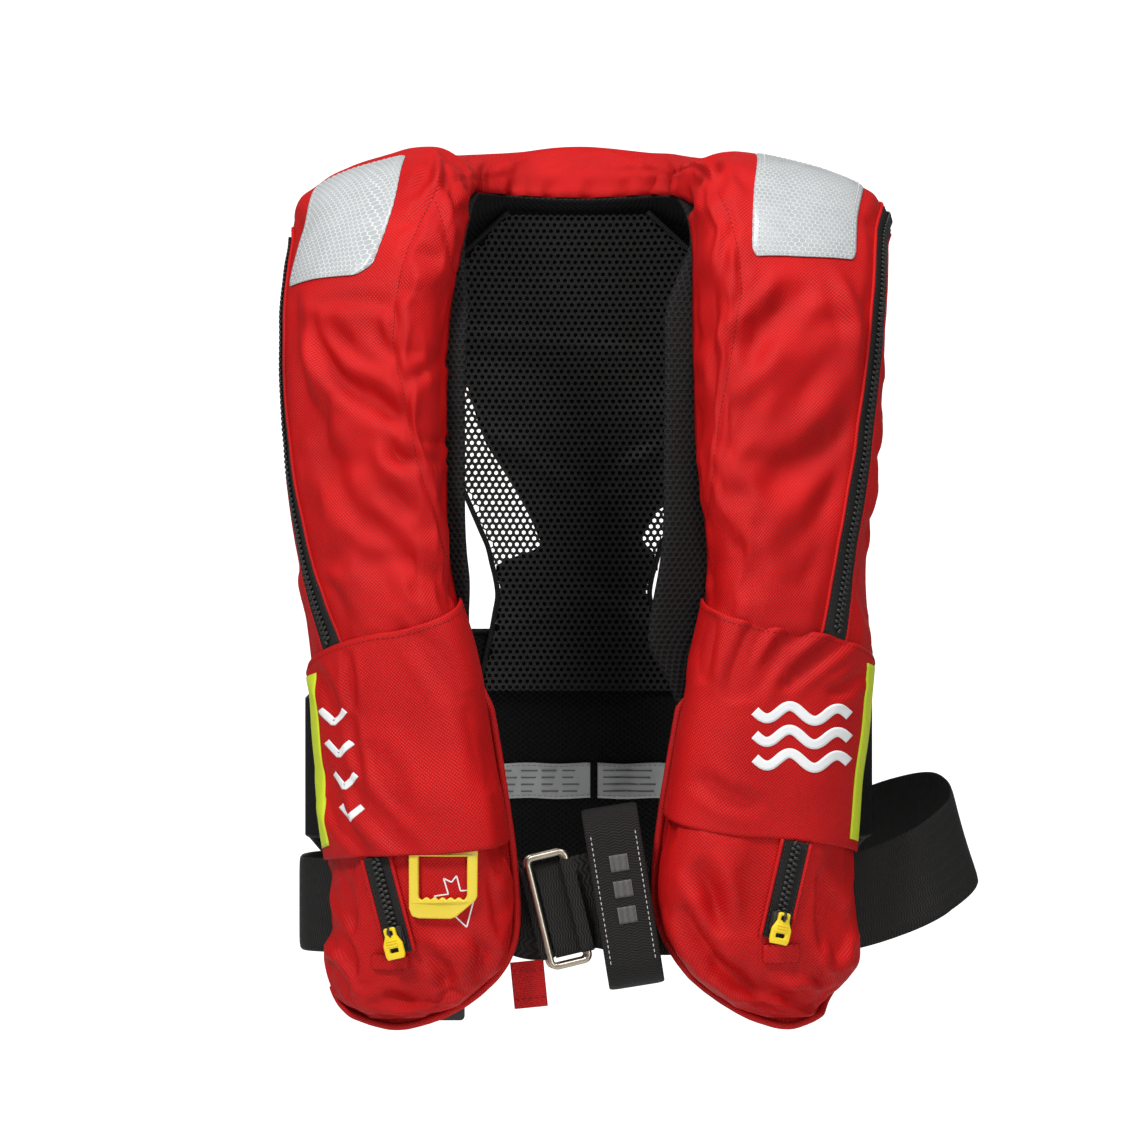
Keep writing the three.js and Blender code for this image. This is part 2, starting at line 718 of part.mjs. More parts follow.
function addMouthpiece() {
  const foot = lobe(fromFoot("right", 4.9), 0.36, 0.42);
  const head = lobe(fromFoot("right", 7), 0.36, 0.42);
  const place = axisFrame(foot, head);
  const r = oralTubeDiameter / 2;
  const bore = oralBore / 2;
  const end = oralTubeLength;
  const tube = turned([[bore, 0], [r, 0], [r, end], [bore, end], [bore, 0]], 16);
  addMesh("oral_tube", tube, "black", place);
  addNeck("oral_tube_neck", place, 1, r, 8, 5, oralNeckLength);
  const top = oralCapLength;
  const cap = turned([[0, 0], [r + 1, 0], [r + 1, top - 2], [r - 1, top], [0, top]], 16);
  addMesh("oral_cap", cap, "yellow", shifted(place, 0, oralTubeLength + gap, 0));
  joints.oral_cap_slide = { axis: place.y };

  const whistle = roundedRectangle(14, 44, 4);
  whistle.holes.push(roundedRectangle(4, 4, 1, new THREE.Path()));
  const u = fromFoot("right", 3.4);
  const y = lobe(u - 0.5, 0.34, 0).sub(lobe(u + 0.5, 0.34, 0)).normalize();
  const x = lobe(u, 1, 0).sub(lobe(u, 0, 0));
  x.addScaledVector(y, -x.dot(y)).normalize();
  const z = new THREE.Vector3().crossVectors(x, y);
  const origin = lobe(u, 0.34, 0).addScaledVector(z, 2 * gap);
  addMesh("whistle", extruded(whistle, 8), "yellow", { origin, x, y, z });
}

// ---- back, waist and belt ----

// A back sheet through rows of { y, z, left, right, bow }, bowed forward to its sides.
function backSheet(rows, thickness) {
  const rings = rows.map(({ y, z, left, right, bow }) => {
    const across = spread(8).map((s) => lerp(left, right, s));
    const front = across.map((x) => at(x, y - bow * x * x, z));
    const rear = front.map((p) => p.clone().add(new THREE.Vector3(0, thickness, 0)));
    return [...front, ...rear.reverse()];
  });
  return loft(rings);
}

const meshRows = [
  { y: 60, z: 9, left: -40, right: 38, bow: 0.005 },
  { y: 78, z: -22, left: -74, right: 72, bow: 0.0035 },
  { y: 94, z: -70, left: -88, right: 86, bow: 0.0022 },
  { y: 103, z: -120, left: -78, right: 76, bow: 0.002 },
  { y: 106, z: -150, left: -64, right: 60, bow: 0.002 },
  { y: 107, z: -178, left: -52, right: 46, bow: 0.002 },
  { y: 107, z: -203, left: -46, right: 39, bow: 0.002 },
  { y: 105.6, z: -222, left: -49, right: 44, bow: 0.002 },
  { y: 103.6, z: -262, left: -58, right: 54, bow: 0.002 },
];
const yokeRows = [
  { y: 118.5, z: -30.9, left: -72, right: 74, bow: 0.002 },
  { y: 113, z: -70, left: -86, right: 84, bow: 0.002 },
  { y: 112, z: -120, left: -73, right: 71, bow: 0.002 },
  { y: 111, z: -150, left: -59, right: 55, bow: 0.002 },
  { y: 110, z: -185, left: -44, right: 37, bow: 0.002 },
];

function addBack() {
  addMesh("back_mesh", backSheet(meshRows, 1.6), "black");
  addMesh("back_yoke", backSheet(yokeRows, coverThickness), "red");
}

// The waist seen from above, from the left lobe round the back to the right lobe.
const waistPlan = [
  [-149, -12],
  [-140, 40],
  [-100, 82],
  [-50, 103],
  [0, 108],
  [52, 102.6],
  [104, 82],
  [148, 40],
  [159, -10],
];
const waistStation = 4.3; // the lobe station that the panel's ends are sewn to

function waistEnd(side) {
  const u = fromFoot(side, waistStation);
  const point = lobe(u, 0, 0).lerp(lobe(u, 1, 0), 0.92);
  return point.add(new THREE.Vector3(0, 2 * gap + liningThickness + 0.85, 0)).setZ(0);
}
const waistCurve = new THREE.CatmullRomCurve3(
  [waistEnd("left"), ...waistPlan.map(([x, y]) => at(x, y, 0)), waistEnd("right")],
  false,
  "centripetal",
);

// A point of the waist line, s from 0 to 1, set out from the wearer by `out`, at height z.
function waistPoint(s, out, z) {
  const along = waistCurve.getTangentAt(s);
  const point = waistCurve.getPointAt(s);
  const outwards = new THREE.Vector3(-along.y, along.x, 0);
  return point.addScaledVector(outwards, out).setZ(z);
}

function waistStrip(from, to, steps, out, thickness, top, bottom) {
  const rings = spread(steps).map((k) => {
    const s = lerp(from, to, k);
    return [
      waistPoint(s, out, top(s)),
      waistPoint(s, out, bottom(s)),
      waistPoint(s, out + thickness, bottom(s)),
      waistPoint(s, out + thickness, top(s)),
    ];
  });
  return loft(rings);
}

const waistThickness = 1.6;

function addWaist() {
  const side = (s) => smoothstep(Math.abs(s - 0.5), 0.16, 0.4);
  const top = (s) => lerp(-226, -262, side(s)) * grade.z;
  const bottom = (s) => lerp(-385, -336, side(s)) * grade.z;
  addMesh("waist_panel", waistStrip(0, 1, 40, 0, waistThickness, top, bottom), "black");
  const labels = { instruction_label_left: [0.402, 0.505], instruction_label_right: [0.513, 0.588] };
  for (const [name, [from, to]] of Object.entries(labels)) {
    const strip = waistStrip(from, to, 5, -gap - 0.6, 0.6, () => -301 * grade.z, () => -321 * grade.z);
    addMesh(name, strip, "label");
  }
}

const vertical = new THREE.Vector3(0, 0, 1);
const leaning = new THREE.Vector3(-buckleLean, 0, 1).normalize();

const hookCentre = at(-13, -82, beltHeight);
const receiverCentre = hookCentre.clone().add(new THREE.Vector3(1.5, -bucklePitch, 0));
const barToCentre = buckleWidth / 2 - bar / 2;
const wrap = bar / 2 + 0.7 + webbingThickness / 2; // from the bar's centre to the middle of the webbing
const sidewaysInBuckle = new THREE.Vector3(1, 0, buckleLean).normalize();

// A point of the belt beside a buckle bar, dx along the buckle's width and dy to the back.
const beside = (centre, dx, dy) =>
  centre.clone().addScaledVector(sidewaysInBuckle, dx).add(new THREE.Vector3(0, dy, 0));

const beltStation = 3.04; // the lobe station at the belt's height

// A point of the belt where it lies behind a lobe's lining, s from its inner to its outer edge.
function behindLining(side, s) {
  const u = fromFoot(side, beltStation);
  const point = lobe(u, 0, 0).lerp(lobe(u, 1, 0), s);
  const clear = 2 * gap + liningThickness + webbingThickness / 2 + 0.8;
  return point.add(new THREE.Vector3(0, clear, 0)).setZ(beltHeight * grade.z);
}

// Past the lining's inner edge the belt also has to clear the edge cord.
function behindPiping(side, reach) {
  const u = fromFoot(side, beltStation);
  const towards = side === "left" ? reach : -reach;
  const clear = pipingDiameter / 2 + gap + webbingThickness / 2 + 0.9;
  return lobe(u, 0, 0).add(new THREE.Vector3(towards, clear, 0)).setZ(beltHeight * grade.z);
}

function addBelt() {
  const z = beltHeight * grade.z;
  const clear = waistThickness + gap + webbingThickness / 2;
  const leftBar = beside(hookCentre, -barToCentre, 0);
  const left = [
    beside(leftBar, -3.5, -wrap),
    beside(leftBar, -1, -wrap),
    beside(leftBar, wrap * 0.72, -wrap * 0.72),
    beside(leftBar, wrap, 0),
    beside(leftBar, wrap * 0.72, wrap * 0.72),
    beside(leftBar, -1, wrap),
    behindPiping("left", 3),
    ...[0.06, 0.2, 0.45, 0.75, 0.95].map((s) => behindLining("left", s)),
    at(-148, -38, beltHeight),
    ...[0.14, 0.2, 0.26, 0.32, 0.38, 0.44, 0.497].map((s) => waistPoint(s, clear, z)),
  ];
  const leanLeft = (s) => leaning.clone().lerp(vertical, smoothstep(s, 0.06, 0.13));
  addMesh("belt_left", ribbon(left, webbingWidth, webbingThickness, leanLeft, 56, closerAtStart), "webbing");

  const rightBar = beside(receiverCentre, barToCentre, 0);
  const right = [
    ...[0.503, 0.56, 0.62].map((s) => waistPoint(s, clear, z)),
    at(96, 95, -370),
    at(124, 88, -360),
    at(152, 72, -345),
    at(181, 46, -332),
    at(203, 12, -328),
    at(209, -20, -340),
    at(192, -39, -354),
    at(166, -46, -366),
    ...[0.9, 0.7, 0.4, 0.2, 0.06].map((s) => behindLining("right", s)),
    behindPiping("right", 3),
    behindPiping("right", 15),
    beside(rightBar, 9, wrap + 0.4),
    beside(rightBar, 1, wrap),
    beside(rightBar, -wrap * 0.72, wrap * 0.72),
    beside(rightBar, -wrap, 0),
    beside(rightBar, -wrap * 0.72, -wrap * 0.72),
    beside(rightBar, 1, -wrap),
    beside(rightBar, 3.5, -wrap),
  ];
  const tilt = new THREE.Vector3(-0.5, 0, 0.86);
  const leanRight = (s) => {
    const loop = smoothstep(s, 0.22, 0.36) * (1 - smoothstep(s, 0.5, 0.62));
    const atBuckle = smoothstep(s, 0.88, 0.94);
    return vertical.clone().lerp(tilt, 0.55 * loop).lerp(leaning, atBuckle);
  };
  addMesh("belt_right", ribbon(right, webbingWidth, webbingThickness, leanRight, 68, closerAtEnd), "webbing");
}

// One frame of the buckle, in the plane that the belt lies in, with its long side along the lean.
function buckleFrame() {
  const outline = roundedRectangle(buckleWidth - 2 * barBevel, buckleLength - 2 * barBevel, 3);
  const low = -buckleLength / 2 + bar - barBevel;
  const high = -low;
  const eye = new THREE.Path();
  const x = buckleWidth / 2 - bar + barBevel;
  eye.moveTo(-x, low);
  eye.lineTo(-x, high);
  eye.lineTo(x, high);
  eye.lineTo(x, low);
  eye.closePath();
  outline.holes.push(eye);
  const settings = {
    depth: bar - 2 * barBevel,
    bevelEnabled: true,
    bevelThickness: barBevel,
    bevelSize: barBevel,
    bevelSegments: 1,
    curveSegments: 3,
  };
  return new THREE.ExtrudeGeometry(outline, settings).translate(0, 0, barBevel - bar / 2);
}

function addBuckle() {
  const y = leaning.clone();
  const z = new THREE.Vector3(0, -1, 0);
  const x = new THREE.Vector3().crossVectors(y, z);
  addMesh("buckle_hook", buckleFrame(), "steel", { origin: hookCentre, x, y, z });
  addMesh("buckle_receiver", buckleFrame(), "steel", { origin: receiverCentre, x, y, z });
  const hinge = beside(hookCentre, -barToCentre, 0);
  joints.buckle_tilt = { pos: hinge, axis: y };
}

// The soft harness loop that hangs round the belt.
function stadium(height, depth, outline) {
  const r = depth / 2;
  const straight = height / 2 - r;
  outline.moveTo(r, -straight);
  outline.lineTo(r, straight);
  outline.absarc(0, straight, r, 0, Math.PI);
  outline.lineTo(-r, -straight);
  outline.absarc(0, -straight, r, Math.PI, 2 * Math.PI);
  return outline;
}

function addHarnessLoop() {
  const inner = stadium(loopHeight - 2 * webbingThickness, loopDepth - 2 * webbingThickness, new THREE.Path());
  const outline = stadium(loopHeight, loopDepth, new THREE.Shape());
  outline.holes.push(inner);
  const depth = loopWidth;
  const loop = new THREE.ExtrudeGeometry(outline, { depth, bevelEnabled: false, curveSegments: 6 });
  loop.translate(0, 0, -depth / 2);
  const y = new THREE.Vector3(-0.16, 0, 1).normalize();
  const x = new THREE.Vector3(0, 1, 0);
  const z = new THREE.Vector3().crossVectors(x, y);
  const onBelt = behindLining("right", 0.06).y + webbingThickness / 2 + 2 * gap;
  const origin = at(23, 0, -366).setY(onBelt - loopDepth / 2 + webbingThickness);
  addMesh("harness_loop", loop, "webbing", { origin, x, y, z });
  const face = origin.clone().addScaledVector(x, -loopDepth / 2);
  mounts.tether_loop = { pos: face, axis: x.clone().negate() };
}

function addPullTab() {
  const tab = extruded(roundedRectangle(tabWidth, tabLength, 1), 2.2);
  const y = new THREE.Vector3(-0.1, 0, 1).normalize();
  const z = new THREE.Vector3(0, -1, 0);
  const x = new THREE.Vector3().crossVectors(y, z);
  const beltFoot = beside(hookCentre, -barToCentre, 0).addScaledVector(leaning, -webbingWidth / 2);
  const top = beltFoot.add(new THREE.Vector3(-11.5, 3.2, -1.2));
  const origin = top.clone().addScaledVector(y, -tabLength / 2);
  addMesh("pull_tab", tab, "red", { origin, x, y, z });
  joints.tab_swing = { pos: top, axis: x };
}

// A leg strap's stub behind the foot of each lobe, with the clip that hangs from it.
const legSpots = { left: [-72, -70.5, -403, 15], right: [84, -70, -403, 6] };

function addLegClip(side) {
  const [x, y, z, length] = legSpots[side];
  const top = at(x, y, z);
  const foot = top.clone().add(new THREE.Vector3(0, 0, -length));
  const strap = ribbon([top, foot], legStrapWidth, 2, () => new THREE.Vector3(1, 0, 0), 2);
  addMesh("leg_strap_" + side, strap, "webbing");
  const outline = roundedRectangle(legStrapWidth, clipLength, 2.5);
  outline.holes.push(new THREE.Path().absarc(0, -2, clipHole / 2, 0, 2 * Math.PI));
  const clip = extruded(outline, clipThickness);
  const place = {
    origin: foot.clone().add(new THREE.Vector3(0, clipThickness / 2, -clipSlack - clipLength / 2)),
    x: new THREE.Vector3(1, 0, 0),
    y: vertical.clone(),
    z: new THREE.Vector3(0, -1, 0),
  };
  addMesh("leg_clip_" + side, clip, "black", place);
  joints["leg_clip_swing_" + side] = { pos: foot, axis: place.x };
  const face = place.origin.clone().add(new THREE.Vector3(0, -clipThickness, clipLength * 0.32));
  mounts["leg_clip_" + side] = { pos: face, axis: place.z };
}

for (const side of ["left", "right"]) {
  addCovers(side);
  addBand(side);
  addPiping(side);
  addReflector(side);
  addUpperZip(side);
  addLowerZip(side);
  addGarage(side);
  addLegClip(side);
}
addCollar();
addLinings();
addBladder();
addHandle();
addInflator();
addMouthpiece();
addBack();
addWaist();
addBelt();
addBuckle();
addHarnessLoop();
addPullTab();

jacket.userData.joints = joints;
jacket.userData.mounts = mounts;

export default jacket;
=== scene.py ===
"""The looks of an inflatable life jacket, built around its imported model.

Metres, in the model's own frame: +X to the viewer's right when the front is faced, -Y to the front, +Z up.
The pattern's places are written in millimetres and scaled by MM.
"""

import math

import bmesh
import bpy
import numpy as np
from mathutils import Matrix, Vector
from mathutils.bvhtree import BVHTree


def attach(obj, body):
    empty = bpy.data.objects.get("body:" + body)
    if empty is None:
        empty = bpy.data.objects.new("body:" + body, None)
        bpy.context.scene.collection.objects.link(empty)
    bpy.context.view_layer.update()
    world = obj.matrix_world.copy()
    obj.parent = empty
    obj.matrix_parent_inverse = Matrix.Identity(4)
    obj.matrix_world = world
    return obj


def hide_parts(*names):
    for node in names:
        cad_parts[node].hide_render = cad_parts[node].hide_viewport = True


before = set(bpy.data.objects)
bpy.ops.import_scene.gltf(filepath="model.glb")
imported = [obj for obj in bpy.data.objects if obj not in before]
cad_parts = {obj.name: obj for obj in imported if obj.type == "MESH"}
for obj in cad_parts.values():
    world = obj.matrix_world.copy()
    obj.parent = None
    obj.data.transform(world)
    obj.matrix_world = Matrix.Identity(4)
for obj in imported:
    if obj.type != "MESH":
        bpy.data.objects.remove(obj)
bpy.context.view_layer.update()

MM = 0.001
GAP = 0.4 * MM  # between one layer and the next

# ---- camera and stage ----

VIEW_CENTRE = Vector((-0.0037, -0.11, -0.193))
VIEW_DISTANCE = 3.2
VIEW_WIDTH = 0.6096  # what the view spans at its centre
SENSOR = 36.0


def make_camera():
    data = bpy.data.cameras.new("camera")
    data.sensor_width = SENSOR
    data.lens = SENSOR * VIEW_DISTANCE / VIEW_WIDTH
    camera = bpy.data.objects.new("camera", data)
    camera.location = VIEW_CENTRE + Vector((0, -VIEW_DISTANCE, 0))
    camera.rotation_euler = (math.pi / 2, 0, 0)
    bpy.context.scene.collection.objects.link(camera)
    bpy.context.scene.camera = camera


def make_light(name, place, size, power, colour=(1, 1, 1)):
    data = bpy.data.lights.new(name, "AREA")
    data.shape = "DISK"
    data.size = size
    data.energy = power
    data.color = colour
    light = bpy.data.objects.new(name, data)
    light.location = place
    light.rotation_euler = (VIEW_CENTRE - Vector(place)).to_track_quat("-Z", "Y").to_euler()
    bpy.context.scene.collection.objects.link(light)


def make_stage():
    floor_height = -0.72
    floor_radius = 1.2
    bpy.ops.mesh.primitive_circle_add(vertices=96, radius=floor_radius, fill_type="NGON")
    floor = bpy.context.object
    floor.name = "floor"
    floor.location = (0, 0, floor_height)
    backdrop_distance = 6.0
    bpy.ops.mesh.primitive_plane_add(size=3.2)
    backdrop = bpy.context.object
    backdrop.name = "backdrop"
    backdrop.location = (0, backdrop_distance, VIEW_CENTRE.z)
    backdrop.rotation_euler = (math.pi / 2, 0, 0)
    for piece, glow in ((floor, 0.0), (backdrop, 1.0)):
        paint = Finish(piece.name + "_paint")
        paint.set(base=(0.86, 0.86, 0.86), roughness=0.9)
        paint.shader.inputs["Emission Color"].default_value = (1, 1, 1, 1)
        paint.shader.inputs["Emission Strength"].default_value = glow
        piece.data.materials.append(paint.material)
    world = bpy.data.worlds.new("studio")
    world.use_nodes = True
    world.node_tree.nodes["Background"].inputs["Color"].default_value = (1, 1, 1, 1)
    world.node_tree.nodes["Background"].inputs["Strength"].default_value = 0.2
    bpy.context.scene.world = world
    bpy.context.scene.view_settings.view_transform = "Standard"
    make_light("key", (-1.15, -1.75, 1.7), 0.6, 62)
    make_light("fill", (0.9, -2.6, 0.0), 1.0, 16)
    make_light("top", (0.4, -0.7, 1.5), 0.7, 18)


# ---- shader expressions ----


class Amount:
    """A number that varies over a surface: arithmetic on it adds Math nodes."""

    def __init__(self, finish, socket):
        self.finish = finish
        self.socket = socket

    def math(self, operation, *others):
        return self.finish.math(operation, self, *others)

    def __add__(self, other):
        return self.math("ADD", other)

    __radd__ = __add__

    def __sub__(self, other):
        return self.math("SUBTRACT", other)

    def __rsub__(self, other):
        return self.finish.math("SUBTRACT", other, self)

    def __mul__(self, other):
        return self.math("MULTIPLY", other)

    __rmul__ = __mul__

    def __truediv__(self, other):
        return self.math("DIVIDE", other)

    def __mod__(self, other):
        return self.math("FLOORED_MODULO", other)

    def __lt__(self, other):
        return self.math("LESS_THAN", other)

    def __abs__(self):
        return self.math("ABSOLUTE")

    def sin(self):
        return self.math("SINE")

    def above(self, other):
        return self.math("MAXIMUM", other)

    def between(self, low, high):
        """0 below low, 1 above high, smooth between."""
        ramp = self.finish.node(
            "ShaderNodeMapRange",
            {"interpolation_type": "SMOOTHSTEP"},
            {"Value": self, "From Min": low, "From Max": high},
        )
        return Amount(self.finish, ramp.outputs["Result"])


class Finish:
    """One material and its node tree."""

    def __init__(self, name):
        self.material = bpy.data.materials.new(name)
        self.material.use_nodes = True
        self.tree = self.material.node_tree
        self.tree.nodes.clear()
        self.shader = self.node("ShaderNodeBsdfPrincipled")
        end = self.node("ShaderNodeOutputMaterial")
        self.tree.links.new(self.shader.outputs[0], end.inputs["Surface"])

    def node(self, kind, settings=None, values=None):
        made = self.tree.nodes.new(kind)
        for key, value in (settings or {}).items():
            setattr(made, key, value)
        for key, value in (values or {}).items():
            self.join(value, made.inputs[key])
        return made

    def join(self, value, socket):
        if isinstance(value, Amount):
            self.tree.links.new(value.socket, socket)
        elif isinstance(value, bpy.types.NodeSocket):
            self.tree.links.new(value, socket)
        elif isinstance(value, tuple) and len(value) == 3 and socket.type == "RGBA":
            socket.default_value = (*value, 1)
        else:
            socket.default_value = value

    def math(self, operation, *terms):
        made = self.node("ShaderNodeMath", {"operation": operation}, dict(enumerate(terms)))
        return Amount(self, made.outputs[0])

    def uv(self, scale=1.0):
        """The piece's own cloth coordinates, in metres times scale."""
        source = self.node("ShaderNodeUVMap", {"uv_map": "cloth"})
        parts = self.node("ShaderNodeSeparateXYZ", None, {0: source.outputs[0]})
        return [Amount(self, parts.outputs[i]) * scale for i in (0, 1)]

    def place(self):
        return self.node("ShaderNodeTexCoord").outputs["Object"]

    def noise(self, size, detail=2.0, where=None):
        """Smooth noise from 0 to 1 with features of about that size in metres."""
        made = self.node(
            "ShaderNodeTexNoise",
            None,
            {"Vector": where or self.place(), "Scale": 1 / size, "Detail": detail},
        )
        return Amount(self, made.outputs[0])

    def blend(self, share, first, second):
        made = self.node("ShaderNodeMix", {"data_type": "RGBA"})
        self.join(share, made.inputs["Factor"])
        self.join(first, made.inputs[6])
        self.join(second, made.inputs[7])
        return made.outputs[2]

    def set(self, base=None, roughness=None, metallic=None, specular=None, coat=None):
        sockets = {
            "Base Color": base,
            "Roughness": roughness,
            "Metallic": metallic,
            "Specular IOR Level": specular,
            "Coat Weight": coat,
        }
        for name, value in sockets.items():
            if value is not None:
                self.join(value, self.shader.inputs[name])

    def bump(self, height, depth, strength=1.0):
        """height runs from 0 to 1 and stands for depth in metres."""
        made = self.node("ShaderNodeBump", None, {"Height": height, "Distance": depth, "Strength": strength})
        self.join(made.outputs[0], self.shader.inputs["Normal"])


def honeycomb(x, y):
    """Distance from the nearest cell centre of a honeycomb with cells 1 across, 0 to about 0.58."""
    tall = math.sqrt(3)
    near = [x % 1 - 0.5, y % tall - tall / 2]
    other = [(x - 0.5) % 1 - 0.5, (y - tall / 2) % tall - tall / 2]
    square = [p[0] * p[0] + p[1] * p[1] for p in (near, other)]
    first = square[0] < square[1]
    local = [abs(b + (a - b) * first) for a, b in zip(near, other)]
    return local[0].above(local[0] * 0.5 + local[1] * (tall / 2))


def basket(u, v):
    """A diamond basket weave, 1 on a thread's crown and 0 between threads."""
    one = abs((u + v).math("MULTIPLY", math.pi).sin())
    two = abs((u - v).math("MULTIPLY", math.pi).sin())
    return one * two


# ---- finishes ----

WEAVE_PITCH = 1.9 * MM


def cover_cloth(name, dark, light):
    made = Finish(name)
    u, v = made.uv(1 / WEAVE_PITCH)
    threads = basket(u, v)
    cloudy = made.noise(0.035, 3)
    fuzz = made.noise(0.0006, 2)
    # tone mixes painted shade, the weave darker between the threads' crowns, with the cloth's own uneven tone from
    # the cloudy and fuzz noise.
    tone = (threads * 0.5 + cloudy * 0.45 + fuzz * 0.2).between(-0.05, 1.1)
    made.set(base=made.blend(tone, dark, light), roughness=0.6 - threads * 0.14, specular=0.2)
    made.bump(threads + fuzz * 0.3, 0.24 * MM)
    return made.material


def mesh_cloth(name, pitch, tone=0.012):
    """Black knitted mesh: rows of small holes, shown by a bump and by painted shade that darkens each hole."""
    made = Finish(name)
    u, v = made.uv(1 / pitch)
    ring = honeycomb(u, v).between(0.2, 0.42)
    fuzz = made.noise(0.0005, 2)
    # Darkest in the middle of each hole: painted shade inside holes that are not cut, over the knit's own black.
    colour = made.blend(ring * 0.8 + fuzz * 0.2, (tone * 0.25,) * 3, (tone * 1.9,) * 3)
    made.set(base=colour, roughness=0.72, specular=0.15)
    made.bump(ring + fuzz * 0.3, 0.5 * MM)
    return made.material


def net_cord():
    made = Finish("net_cord")
    fuzz = made.noise(0.0004, 3)
    colour = made.blend(fuzz, (0.004, 0.003, 0.003), (0.017, 0.016, 0.015))
    made.set(base=colour, roughness=0.5, specular=0.35)
    made.bump(fuzz, 0.15 * MM)
    return made.material


def ribbed_webbing(name, dark, light, pitch=1.5 * MM):
    """Woven webbing: ribs across its length, each a chevron of fine threads."""
    made = Finish(name)
    u, v = made.uv(1 / pitch)
    ribs = abs(((v + abs((u * 0.22) % 1 - 0.5) * 1.6) * math.pi).sin())
    threads = abs((u * (math.pi * 2.4)).sin())
    fuzz = made.noise(0.0007, 2)
    height = ribs * 0.7 + threads * 0.3
    # Lighter on the ribs' and threads' crowns and darker between them: painted shade in the weave's hollows; the
    # fuzz is the webbing's own uneven tone.
    colour = made.blend(height * 0.8 + fuzz * 0.25, dark, light)
    made.set(base=colour, roughness=0.7 - ribs * 0.25, specular=0.22)
    made.bump(height + fuzz * 0.2, 0.5 * MM)
    return made.material


def zip_tape_cloth():
    made = Finish("zip_tape_knit")
    u, v = made.uv(1 / (0.9 * MM))
    ribs = abs((u * math.pi).sin()) * 0.7 + abs((v * math.pi).sin()) * 0.3
    fuzz = made.noise(0.0005, 2)
    # Lighter on the knit's ribs and darker between them: painted shade in the hollows; the fuzz is the tape's own
    # uneven tone.
    colour = made.blend(ribs * 0.7 + fuzz * 0.3, (0.006, 0.006, 0.006), (0.024, 0.023, 0.022))
    made.set(base=colour, roughness=0.7, specular=0.2)
    made.bump(ribs, 0.2 * MM)
    return made.material


def moulded(name, dark, light, roughness=0.35, grain=0.0012, depth=0.05 * MM, coat=0.0):
    """Moulded plastic: a faint texture, and uneven tone and gloss."""
    made = Finish(name)
    grains = made.noise(grain, 3)
    patches = made.noise(0.012, 2)
    made.set(
        base=made.blend(patches * 0.7 + grains * 0.3, dark, light),
        roughness=patches * 0.18 + (roughness - 0.08),
        coat=coat,
    )
    made.bump(grains, depth)
    return made.material


def thread(name, dark, light):
    made = Finish(name)
    twist = made.noise(0.0005, 2)
    made.set(base=made.blend(twist, dark, light), roughness=0.6, specular=0.25)
    return made.material


def tack_thread():
    """Satin stitching: grey threads lying side by side."""
    made = Finish("tack_thread")
    u, _ = made.uv(1 / (0.8 * MM))
    cords = abs((u * math.pi).sin()) * 0.8 + made.noise(0.0006, 2) * 0.2
    # Lighter on each cord and darker between cords: painted shade in the grooves of the satin stitching.
    made.set(base=made.blend(cords, (0.03, 0.03, 0.03), (0.19, 0.185, 0.18)), roughness=0.6, specular=0.25)
    made.bump(cords, 0.3 * MM)
    return made.material


def reflective_film():
    """Film in honeycomb cells under a clear skin."""
    made = Finish("reflective_film")
    u, v = made.uv(1 / (3.1 * MM))
    wall = honeycomb(u, v).between(0.4, 0.46)
    patches = made.noise(0.009, 2)
    cell = made.blend(patches, (0.32, 0.34, 0.35), (0.46, 0.48, 0.49))
    made.set(base=made.blend(wall, cell, (0.66, 0.68, 0.68)), roughness=wall * 0.25 + 0.3, coat=0.2)
    made.bump(wall, 0.18 * MM)
    return made.material


def fluorescent_tape():
    made = Finish("fluorescent_tape")
    u, v = made.uv(1 / (1.2 * MM))
    grid = basket(u, v)
    cloudy = made.noise(0.01, 2)
    # The weave darkens the hollows between threads as painted shade; the cloudy noise is the tape's own uneven tone.
    made.set(base=made.blend(grid * 0.4 + cloudy * 0.6, (0.5, 0.62, 0.008), (0.72, 0.85, 0.03)), roughness=0.5)
    made.bump(grid, 0.08 * MM)
    return made.material


def label_cloth():
    made = Finish("label_cloth")
    u, v = made.uv(1 / (0.55 * MM))
    weave = basket(u, v)
    cloudy = made.noise(0.01, 3)
    # The weave darkens the hollows between threads as painted shade; the cloudy noise is the cloth's own uneven
    # tone.
    made.set(base=made.blend(weave * 0.3 + cloudy * 0.7, (0.34, 0.35, 0.35), (0.55, 0.56, 0.56)), roughness=0.7)
    made.bump(weave, 0.06 * MM)
    return made.material


def satin_steel(name, dark, light, roughness=0.34):
    """Bead-blasted steel with light handling marks."""
    made = Finish(name)
    blast = made.noise(0.0006, 3)
    marks = made.noise(0.006, 4)
    made.set(base=made.blend(marks, dark, light), metallic=1.0, roughness=marks * 0.16 + (roughness - 0.08))
    made.bump(blast, 0.03 * MM)
    return made.material


